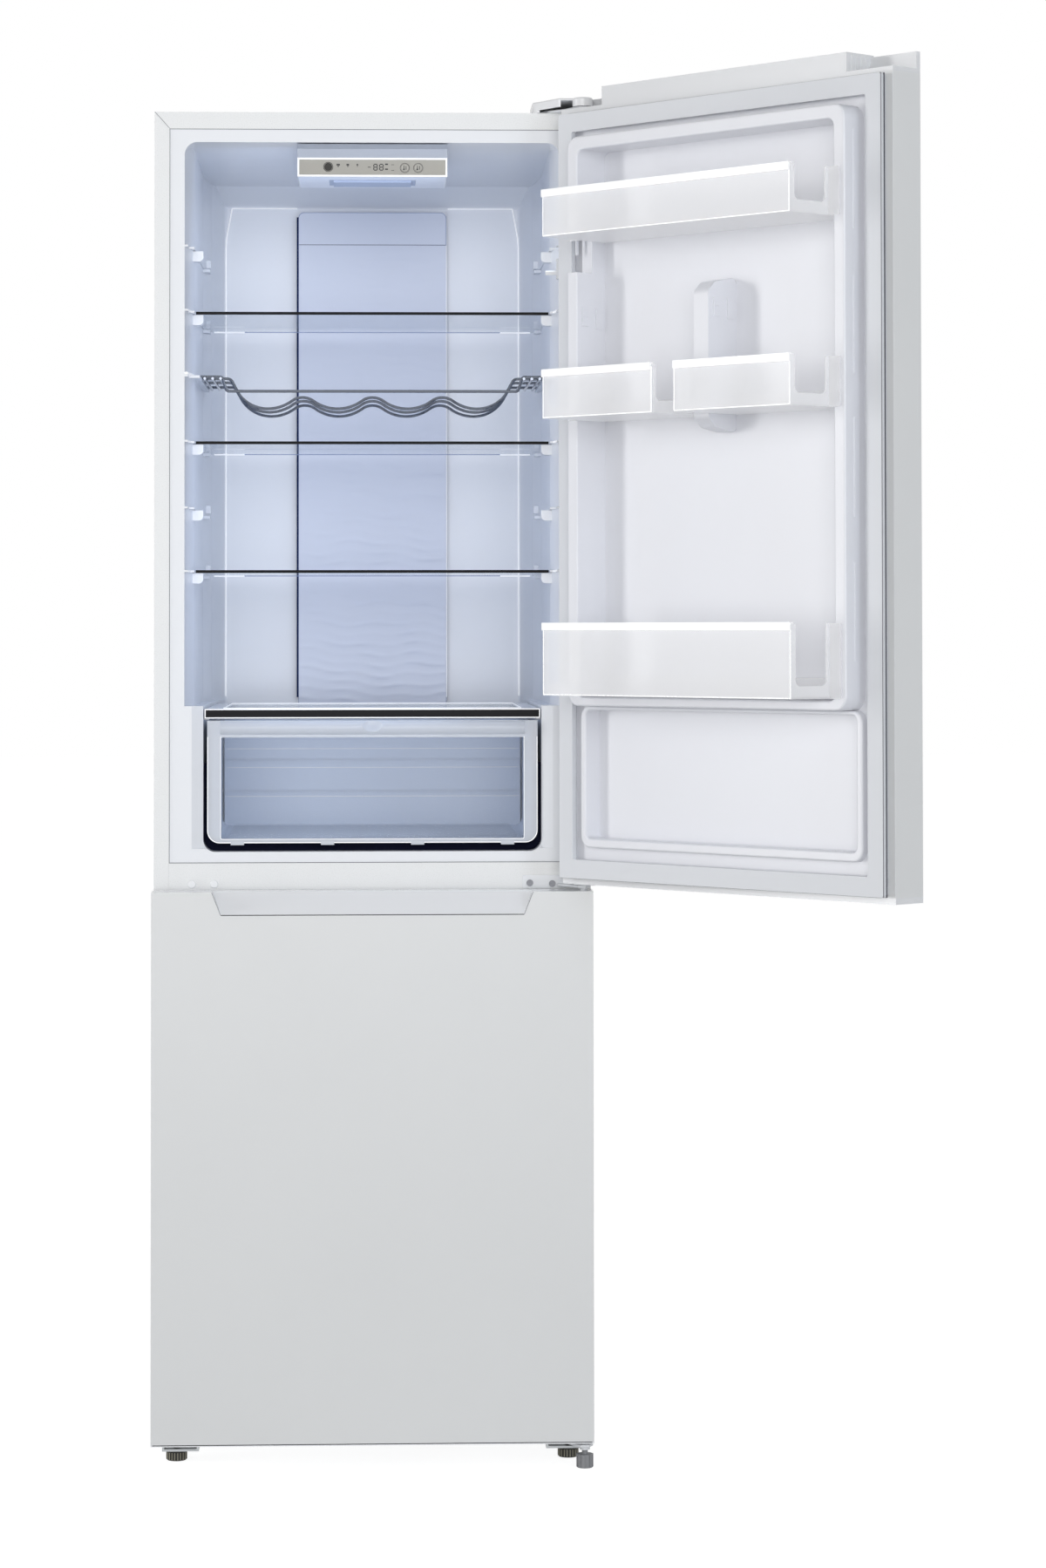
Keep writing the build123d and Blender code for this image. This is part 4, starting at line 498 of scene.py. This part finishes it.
def corner_highlights():
    """Painted highlights: thin glowing lines along the rounded edges of the back wall."""
    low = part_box("crisper_cover_glass")[1][2] + HIGHLIGHT_START
    y = about(BACK_WALL, (-HIGHLIGHT_WIDE, HIGHLIGHT_WIDE))
    corner = BACK_HALF - BEND_IN
    route = ((BACK_HALF, low), (BACK_HALF, BEND_Z - LEAN_Z), (BACK_HALF - LEAN_X, BEND_Z), (corner, BACK_TOP))
    for side, m in SIDES:
        outer, inner = ([(m * (x + d), z) for x, z in route] for d in (HIGHLIGHT_WIDE, -HIGHLIGHT_WIDE))
        band(f"corner_highlight_{side}", outer, inner, y, "cabinet", GLOWING_WHITE_LINE, "rim_plastic")
        box_piece(f"top_highlight_{side}", mirrored((TOP_HIGHLIGHT_X, corner), m), y,
                  about(BACK_TOP, (-TOP_HIGHLIGHT_WIDE, TOP_HIGHLIGHT_WIDE)), "cabinet", GLOWING_WHITE_LINE, "rim_plastic")


FLANGE_HALF, FLANGE_DOWN, SEAM = 0.277, 23 * MM, 0.8 * MM
SEAM_Y, MITRE_Y, MITRE_IN = (0.4 * MM, 1.1 * MM), (-0.15 * MM, 0.5 * MM), 0.2 * MM
MULLION_Y, MULLION_Z = (-0.2 * MM, 0.6 * MM), (-0.5 * MM, 0.4 * MM)


def flange_seams():
    """Seam between the steel front and the liner's flange, the steel's mitres, the mullion's seam."""
    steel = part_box("outer_wrapper")[1]
    top = steel[2] - FLANGE_DOWN
    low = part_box("mullion_cover")[1][2]
    outer, inner = (arch(FLANGE_HALF - d, low, top - d) for d in (0, SEAM))
    band("flange_seam", outer, inner, SEAM_Y, "cabinet", SEAM_GREY, "white_steel")
    for side, m in SIDES:
        outer = [(m * (steel[0] - MITRE_IN), steel[2] - MITRE_IN), (m * FLANGE_HALF, top)]
        inner = [(x - m * SEAM, z) for x, z in outer]
        band(f"mitre_{side}", inner, outer, MITRE_Y, "cabinet", SEAM_GREY, "white_steel")
    box_piece("mullion_seam", (-FLANGE_HALF, FLANGE_HALF), MULLION_Y, about(low, MULLION_Z),
              "cabinet", SEAM_GREY, "white_steel")


# Air duct panel; its waves are given in radians per metre across and up, as phase() takes them
DUCT_LO, DUCT_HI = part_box("duct_panel")
DUCT_SEAM, DUCT_LOW = 1.701, 1.03    # heights of its seam and of its side lines' lower ends
FACE_IN, FACE_LOW, FACE_TOP, FACE_OUT = 1 * MM, 2 * MM, 1.5 * MM, 0.5 * MM
RIPPLE_HIGH = 1.3 * MM
RIDGES, RIDGE_BENDS = (9, 215), ((0.8, 31, 19), (0.5, 83, -29))
BREAKS, BREAK_BEND = (52, 118), (2.4, 23, -41)
# Share of the ripple's height that stays in its breaks, at the left side and at the foot
RIPPLE_BREAK, RIPPLE_LEFT, RIPPLE_FOOT = 0.25, 0.5, 1.15
DUCT_GAP, DUCT_GAP_Y, DUCT_GAP_TOP = (-2.6 * MM, 0), (1 * MM, -0.2 * MM), 7 * MM
DUCT_SEAM_Y, DUCT_SEAM_Z = (0.3 * MM, 1 * MM), (-0.4 * MM, 0.4 * MM)
DUCT_LINE_X, DUCT_LINE_Y, DUCT_LINE_TOP = (-0.4 * MM, 0.6 * MM), (-0.8 * MM, 1 * MM), 1.7
DUCT_CORNER, DUCT_OUTLINE, OUTLINE_SIDE = 8 * MM, 0.6 * MM, 10 * MM
THIN_Y = (-0.3 * MM, 0.2 * MM)    # depth of a frame or outline, from the face it lies on


def duct_ripple(x, z):
    """Short sharp ridges, a little aslant, that grow stronger downwards and to the right."""
    along = (x - DUCT_LO[0]) / (DUCT_HI[0] - DUCT_LO[0])
    up = (z - DUCT_LO[2]) / (DUCT_HI[2] - DUCT_LO[2])
    broken = max(0.0, math.sin(phase(x, z, BREAKS, BREAK_BEND)))
    strength = RIPPLE_BREAK + (1 - RIPPLE_BREAK) * broken
    strength *= (RIPPLE_FOOT - up) * (RIPPLE_LEFT + (1 - RIPPLE_LEFT) * along)
    return RIPPLE_HIGH * ridge(x, z, RIDGES, *RIDGE_BENDS) * strength


def duct_face():
    """Rippled front of the air duct panel, a dark sheet painted as shadow in the gap at its left side, its
    seam, a glowing line painted as highlight down its right edge, and its rounded top corners.
    """
    lo, hi = DUCT_LO, DUCT_HI
    x, z = (lo[0] + FACE_IN, hi[0] - FACE_IN), (lo[2] + FACE_LOW, DUCT_SEAM - FACE_TOP)
    piece("duct_face", *ripple_mesh(x, z, lo[1] - FACE_OUT, duct_ripple), "cabinet",
          MATERIALS["duct_plastic"], "duct_plastic", sheet=True)
    # Painted shadow: dark sheet filling the gap at the duct panel's left side.
    box_piece("duct_gap_shadow", about(lo[0], DUCT_GAP), (lo[1] + DUCT_GAP_Y[0], hi[1] + DUCT_GAP_Y[1]),
              (DUCT_LOW, hi[2] - DUCT_GAP_TOP), "cabinet", SHADOW_AND_SEAM_BLUE, "navy_strip")
    box_piece("duct_seam", (lo[0], hi[0]), about(lo[1], DUCT_SEAM_Y), about(DUCT_SEAM, DUCT_SEAM_Z),
              "cabinet", SHADOW_AND_SEAM_BLUE, "navy_strip")
    # Painted highlight: glowing white line down the duct panel's right edge.
    box_piece("duct_edge_highlight", about(hi[0], DUCT_LINE_X), about(lo[1], DUCT_LINE_Y),
              (DUCT_LOW, DUCT_LINE_TOP), "cabinet", GLOWING_RIM_WHITE, "rim_plastic")
    upright = u_outline(hi[0], lo[2], DUCT_CORNER, hi[2] - OUTLINE_SIDE)
    outer = [(x, lo[2] + hi[2] - z) for x, z in upright]
    inner = [(x * (1 - DUCT_OUTLINE / hi[0]), z - DUCT_OUTLINE) for x, z in outer]
    band("duct_outline", outer, inner, about(lo[1], THIN_Y), "cabinet", TRIM_BLUE, "liner_plastic")


# ---------------------------------------------------------------- crisper
COVER_LINE, RIDGE_WIDE, RIDGE_SINK = 0.8 * MM, 1 * MM, 0.2 * MM


def cover_lines():
    """White frame round the dark strip of the crisper's cover, and the ridge round its glass, both glowing a
    little as painted highlights.
    """
    lo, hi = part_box("crisper_cover_strip")
    outer, inner = (loop(hi[0] + d, lo[2] - d, hi[2] + d) for d in (COVER_LINE, 0))
    band("strip_frame", outer, inner, about(lo[1], THIN_Y), "cabinet", GLOWING_WHITE_LINE, "rim_plastic")
    lo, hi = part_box("crisper_cover_glass")
    x, y = (lo[0], hi[0]), (lo[1], hi[1])
    z = about(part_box("crisper_cover_frame")[1][2], (-RIDGE_SINK, COVER_LINE))
    for name, across, deep in (
        ("back", x, (hi[1], hi[1] + RIDGE_WIDE)), ("front", x, (lo[1] - RIDGE_WIDE, lo[1])),
        ("left", (lo[0] - RIDGE_WIDE, lo[0]), y), ("right", (hi[0], hi[0] + RIDGE_WIDE), y),
    ):
        box_piece(f"cover_ridge_{name}", across, deep, z, "cabinet", GLOWING_WHITE_LINE, "rim_plastic")


# The drawer's recess in the liner, and the dark sheet painted as shadow in the gap between it and the tub
RECESS_HALF, RECESS_FLOOR, RECESS_R = 0.2306, 0.8280, 0.017
GAP_TOP, GAP_Y = 0.948, (0.0285, 0.0295)
TUB_SIDE, TUB_BELOW, TUB_R = 0.5 * MM, 0.8 * MM, 15.5 * MM
# Glowing lines painted as highlights on the drawer's front, whose edge lies FOOT_DROP above the lowest point
# of its box;
# the insets are from that edge and from the window's, and are negative outside the window
FRONT_FACE, FACE_LINE, FRONT_R = 8 * MM, (-0.4 * MM, 0.4 * MM), 17.1 * MM
FOOT_DROP, FRONT_TOP = 2.5 * MM, 22 * MM
OUTLINE_INSETS, WINDOW_INSETS = (0.1 * MM, 1.3 * MM), (-0.9 * MM, -0.2 * MM)
WINDOW_IN, WINDOW_LOW, WINDOW_R = 19 * MM, 6 * MM, 1.8 * MM
# Frosted faces inside the tub: its walls, and a sheet in front of its back wall
TUB_WALL, TUB_RIM, INNER_R, INNER_INSETS = 2.6 * MM, 1 * MM, 13 * MM, (0, 0.4 * MM)
INNER_Y = (6 * MM, -2.7 * MM)
BACK_FACE_IN, BACK_FACE_Y, BACK_FACE_LOW = 6 * MM, (-3.0 * MM, -2.6 * MM), 2.8 * MM
# White lines painted as highlights across the tub's back wall, where its steps catch the light.
TUB_LINES, TUB_LINE_IN = (0.8865, 0.9286, 0.9560), 9 * MM    # heights, and inset at the sides
TUB_LINE_Y, TUB_LINE_Z = (-3.8 * MM, -2.8 * MM), (-0.5 * MM, 0.5 * MM)


def crisper_details():
    """Dark sheet painted as shadow in the gap round the drawer, the glowing outline of its front painted as
    highlight, and white lines painted as highlights on its back wall.
    """
    tub_lo, tub_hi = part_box("crisper_drawer")
    front_lo, front_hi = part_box("crisper_front")
    outer = u_outline(RECESS_HALF, RECESS_FLOOR, RECESS_R, GAP_TOP)
    inner = u_outline(tub_hi[0] + TUB_SIDE, tub_lo[2] - TUB_BELOW, TUB_R, GAP_TOP)
    # Painted shadow: dark U-shaped sheet between the recess and the tub.
    band("crisper_gap_shadow", outer, inner, GAP_Y, "cabinet", PAINTED_SHADOW_NAVY, "navy_strip")

    half, low, top = front_hi[0], front_lo[2] + FOOT_DROP, front_hi[2] - FRONT_TOP
    y = about(FRONT_FACE, FACE_LINE)
    u_band("crisper_outline_highlight", half, low, FRONT_R, top, OUTLINE_INSETS, y,
           "crisper", GLOWING_RIM_WHITE, "rim_plastic")
    u_band("crisper_window_highlight", half - WINDOW_IN, low + WINDOW_LOW, WINDOW_R, top, WINDOW_INSETS, y,
           "crisper", GLOWING_RIM_WHITE, "rim_plastic")

    rim = tub_hi[2] - TUB_RIM
    box_piece("crisper_back_face", (tub_lo[0] + BACK_FACE_IN, tub_hi[0] - BACK_FACE_IN),
              about(tub_hi[1], BACK_FACE_Y), (tub_lo[2] + BACK_FACE_LOW, rim),
              "crisper", FROSTED, "clear_plastic")
    u_band("crisper_inner_face", tub_hi[0] - TUB_WALL, tub_lo[2] + TUB_WALL, INNER_R, rim, INNER_INSETS,
           (tub_lo[1] + INNER_Y[0], tub_hi[1] + INNER_Y[1]), "crisper", FROSTED, "clear_plastic")
    for n, z in enumerate(TUB_LINES):
        box_piece(f"tub_highlight_{n}", (tub_lo[0] + TUB_LINE_IN, tub_hi[0] - TUB_LINE_IN),
                  about(tub_hi[1], TUB_LINE_Y), about(z, TUB_LINE_Z),
                  "crisper", MATERIALS["white_plastic"], "white_plastic")


# ---------------------------------------------------------------- control panel
PANEL_TOP, FRAME_WIDE, FRAME_Y = 26 * MM, 2.4 * MM, (-0.5 * MM, 0.2 * MM)
SLOPE_FRONT, SLOPE_SINK = 3 * MM, 0.4 * MM
SLOPE_BEND = (23.6 * MM, 1.7907)    # y and z, clear of the closed door's raised ring


def panel_surround():
    """White frame round the panel's face, glowing a little as painted highlight, and the sloped part of the
    ceiling above it, darkened as painted shade.
    """
    lo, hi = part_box("control_housing")
    half, top = hi[0], lo[2] + PANEL_TOP
    outer, inner = (loop(half - d, lo[2] + d, top - d) for d in (0, FRAME_WIDE))
    band("panel_frame", outer, inner, about(lo[1], FRAME_Y), "cabinet", GLOWING_RIM_WHITE, "rim_plastic")
    profile = ((SLOPE_FRONT, hi[2] - SLOPE_SINK), SLOPE_BEND, (lo[1], top), (lo[1], hi[2]))
    ends = ([(x, y, z) for y, z in profile] for x in (-half, half))
    # Painted shade: the slope takes a darker copy of the liner's colour.
    piece("panel_slope", *prism(*ends), "cabinet", PAINTED_SHADE_BLUE, "liner_plastic")


# Print on the panel, in millimetres: x from the middle, z from the floor
SEGMENTS = {
    "a": ((0, 2), (1, 2)), "b": ((1, 1), (1, 2)), "c": ((1, 0), (1, 1)), "d": ((0, 0), (1, 0)),
    "e": ((0, 0), (0, 1)), "f": ((0, 1), (0, 2)), "g": ((0, 1), (1, 1)),
}
DIGIT_X, DIGIT_Z = (4.2, 12.3), 1766.2       # middles of the two digits
DIGIT_WIDE, DIGIT_STEP = 4.8, 4.0            # width, and height of one segment
STROKE_HALF, STROKE_CUT = 0.65, 0.4          # half width of a stroke, and how much its ends are cut
MINUS_X, MINUS_Z = (-6.4, -2.4), (1765.7, 1766.7)
ICONS = ((-47.1, 4.6), (-33.9, 3.6), (-20.7, 2.0))    # middle and width
ICON_Z, ICON_FOOT_Z = (1768.4, 1770.6), (1766.6, 1767.8)
SCALES = (       # middle, lower end and height
    (19.4, 1769.4, 1.8), (19.4, 1762.6, 1.8), (27.8, 1769.4, 0.6), (27.8, 1761.6, 0.6),
)
SCALE_HALF = 2           # half width
PRINT_Y = (-0.15 * MM, 0.1 * MM)


def marks():
    """Print on the control panel: two seven-segment digits and small bars."""
    y = about(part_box("control_face")[0][1], PRINT_Y)

    def bar(name, x, z):
        """Bar of print; its sides are in millimetres."""
        box_piece(name, [v * MM for v in x], y, [v * MM for v in z], "cabinet", PRINT, "dark_plastic")

    for d, centre in enumerate(DIGIT_X):
        for key, ends in SEGMENTS.items():
            x = [centre + DIGIT_WIDE * (right - 0.5) for right, _ in ends]
            z = [DIGIT_Z + DIGIT_STEP * (up - 1) for _, up in ends]
            grow = (-STROKE_CUT, STROKE_HALF) if z[0] == z[1] else (STROKE_HALF, -STROKE_CUT)
            bar(f"digit_{d}_{key}", (x[0] - grow[0], x[1] + grow[0]), (z[0] - grow[1], z[1] + grow[1]))
    bar("minus", MINUS_X, MINUS_Z)
    for n, (x, wide) in enumerate(ICONS):
        bar(f"icon_{n}", (x - wide / 2, x + wide / 2), ICON_Z)
        bar(f"icon_foot_{n}", (x - wide / 4, x + wide / 4), ICON_FOOT_Z)
    for n, (x, low, high) in enumerate(SCALES):
        bar(f"scale_{n}", (x - SCALE_HALF, x + SCALE_HALF), (low, low + high))


# Sign on the two temperature buttons: name, middle, width, lower and upper end, in millimetres
THERMOMETER = (
    ("sign_stem", -1.2, 1.0, -1.4, 3.2),
    ("sign_bulb", -1.2, 2.4, -3.2, -1.2),
    ("sign_mark", 1.8, 1.0, -2.6, 2.6),
)
SIGN_Y = (-0.12 * MM, 0.1 * MM)
RING_R, RING_WIRE, RING_SIDES, WIRE_SIDES = 6.4 * MM, 0.35 * MM, 48, 8


def rings():
    """Raised rings round the three panel buttons, and the sign on two of them."""
    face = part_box("control_face")[0][1]
    for name in ("boost", "fridge", "freezer"):
        lo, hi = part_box(f"button_{name}")
        cx, cz = (lo[0] + hi[0]) / 2, (lo[2] + hi[2]) / 2
        bpy.ops.mesh.primitive_torus_add(
            major_radius=RING_R, minor_radius=RING_WIRE, major_segments=RING_SIDES,
            minor_segments=WIRE_SIDES, location=(cx, face, cz), rotation=(math.pi / 2, 0, 0),
        )
        ring = bpy.context.object
        ring.name = f"ring_{name}"
        ring.data.materials.append(PRINT if name == "boost" else RING_GREY)
        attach(ring, "cabinet")
        if name == "boost":
            continue
        for part, middle, wide, *z in THERMOMETER:
            x = about(cx, ((middle - wide / 2) * MM, (middle + wide / 2) * MM))
            box_piece(f"{part}_{name}", x, about(lo[1], SIGN_Y), about(cz, [v * MM for v in z]),
                      f"button_{name}", PRINT, "dark_plastic")


door_lines()
low_panel()
freezer_lines()
foot_ribs()
shelf_edges()
corner_highlights()
flange_seams()
duct_face()
cover_lines()
crisper_details()
panel_surround()
marks()
rings()

# ---------------------------------------------------------------- studio
WORLD_SEEN, WORLD_LIGHT = 1.0, 0.34
FLOOR_SIZE, FLOOR_GLOW = 60, 0.86
FLOOR_SEEN, FLOOR_LIGHT = (0.42, 0.42, 0.42, 1), (0.75, 0.75, 0.75, 1)
SEEN_RAYS = ("Is Camera Ray", "Is Glossy Ray", "Is Transmission Ray")
NEUTRAL, COOL, BLUE = (1, 1, 1), (0.82, 0.9, 1.0), (0.52, 0.67, 1.0)
PALE, ICE = (0.78, 0.88, 1.0), (0.85, 0.92, 1.0)
LAMPS = (        # name, place, aim, width and height, watts, colour, whether gloss shows it
    ("front", (-0.4, -7.0, 1.9), (0, 0, 1.2), (4.0, 3.5), 175, NEUTRAL, True),
    ("left", (-4.0, -0.6, 1.35), (0.3, -0.05, 1.3), (0.7, 2.2), 45, NEUTRAL, True),
    ("right", (3.2, -5.0, 1.9), (0, 0, 1.2), (1.5, 2.5), 50, COOL, True),
    ("ceiling", (0.02, 0.012, 1.62), (0.02, 0.03, 1.797), (0.46, 0.02), 0.045, ICE, False),
    ("room", (-0.04, 0.004, 1.4), (-0.04, 0.5, 1.36), (0.3, 0.72), 0.68, BLUE, False),
    ("crisper", (-0.06, 0.06, 0.92), (-0.1, 0.39, 0.87), (0.28, 0.06), 0.07, PALE, False),
)


def mix_by_camera(tree, seen, other):
    """One shader for camera, glossy and transmission rays and another for the rest."""
    path = tree.nodes.new("ShaderNodeLightPath")
    most = path.outputs[SEEN_RAYS[0]]
    for ray in SEEN_RAYS[1:]:
        larger = tree.nodes.new("ShaderNodeMath")
        larger.operation = "MAXIMUM"
        tree.links.new(most, larger.inputs[0])
        tree.links.new(path.outputs[ray], larger.inputs[1])
        most = larger.outputs[0]
    mix = tree.nodes.new("ShaderNodeMixShader")
    tree.links.new(most, mix.inputs[0])
    tree.links.new(other.outputs[0], mix.inputs[1])
    tree.links.new(seen.outputs[0], mix.inputs[2])
    return mix


def coloured(tree, kind, colour, strength=None):
    """Shader node of one colour, and of one strength where it has any."""
    node = tree.nodes.new(kind)
    node.inputs["Color"].default_value = colour
    if strength is not None:
        node.inputs["Strength"].default_value = strength
    return node


def backdrop():
    """White world; it lights the part less than it shows."""
    world = bpy.data.worlds.new("studio")
    bpy.context.scene.world = world
    world.use_nodes = True
    tree = world.node_tree
    tree.nodes.clear()
    out = tree.nodes.new("ShaderNodeOutputWorld")
    seen = coloured(tree, "ShaderNodeBackground", WHITE, WORLD_SEEN)
    soft = coloured(tree, "ShaderNodeBackground", WHITE, WORLD_LIGHT)
    tree.links.new(mix_by_camera(tree, seen, soft).outputs[0], out.inputs["Surface"])


def ground():
    """Pale floor that glows a little to the camera, and is plain matt to the lamps."""
    material = bpy.data.materials.new("floor")
    material.use_nodes = True
    tree = material.node_tree
    tree.nodes.clear()
    out = tree.nodes.new("ShaderNodeOutputMaterial")
    lit = tree.nodes.new("ShaderNodeAddShader")
    glow = coloured(tree, "ShaderNodeEmission", WHITE, FLOOR_GLOW)
    matte = coloured(tree, "ShaderNodeBsdfDiffuse", FLOOR_SEEN)
    tree.links.new(glow.outputs[0], lit.inputs[0])
    tree.links.new(matte.outputs[0], lit.inputs[1])
    plain = coloured(tree, "ShaderNodeBsdfDiffuse", FLOOR_LIGHT)
    tree.links.new(mix_by_camera(tree, lit, plain).outputs[0], out.inputs["Surface"])
    bpy.ops.mesh.primitive_plane_add(size=FLOOR_SIZE, location=(0, 0, 0))
    floor = bpy.context.object
    floor.name = "floor"
    floor.data.materials.append(material)


def lamp(name, place, aim, size, watts, colour, glossy):
    """Area lamp that the camera doesn't see."""
    light = bpy.data.lights.new(name, "AREA")
    light.shape = "RECTANGLE"
    light.size, light.size_y = size
    light.energy = watts
    light.color = colour
    obj = bpy.data.objects.new(name, light)
    obj.location = place
    obj.rotation_euler = (Vector(aim) - Vector(place)).to_track_quat("-Z", "Y").to_euler()
    obj.visible_camera = False
    obj.visible_glossy = glossy
    bpy.context.scene.collection.objects.link(obj)


def camera():
    """The photograph's camera: a long lens whose picture is shifted off its axis."""
    forward = Vector((math.sin(YAW) * math.cos(PITCH), math.cos(YAW) * math.cos(PITCH), math.sin(PITCH)))
    level = Vector((math.cos(YAW), -math.sin(YAW), 0))
    up = level.cross(forward)
    right = math.cos(ROLL) * level + math.sin(ROLL) * up
    top = -math.sin(ROLL) * level + math.cos(ROLL) * up
    data = bpy.data.cameras.new("camera")
    data.sensor_fit = "HORIZONTAL"
    data.sensor_width = SENSOR
    data.lens = FOCAL_PX / IMAGE[0] * SENSOR
    data.shift_x = (IMAGE[0] / 2 - CENTRE_PX[0]) / IMAGE[0]
    data.shift_y = (CENTRE_PX[1] - IMAGE[1] / 2) / IMAGE[0]
    data.clip_end = CLIP_END
    obj = bpy.data.objects.new("camera", data)
    turn = Matrix((right, top, -forward)).transposed().to_4x4()
    obj.matrix_world = Matrix.Translation(EYE) @ turn
    bpy.context.scene.collection.objects.link(obj)
    bpy.context.scene.camera = obj


backdrop()
ground()
for facts in LAMPS:
    lamp(*facts)
camera()
bpy.context.scene.view_settings.view_transform = "Standard"
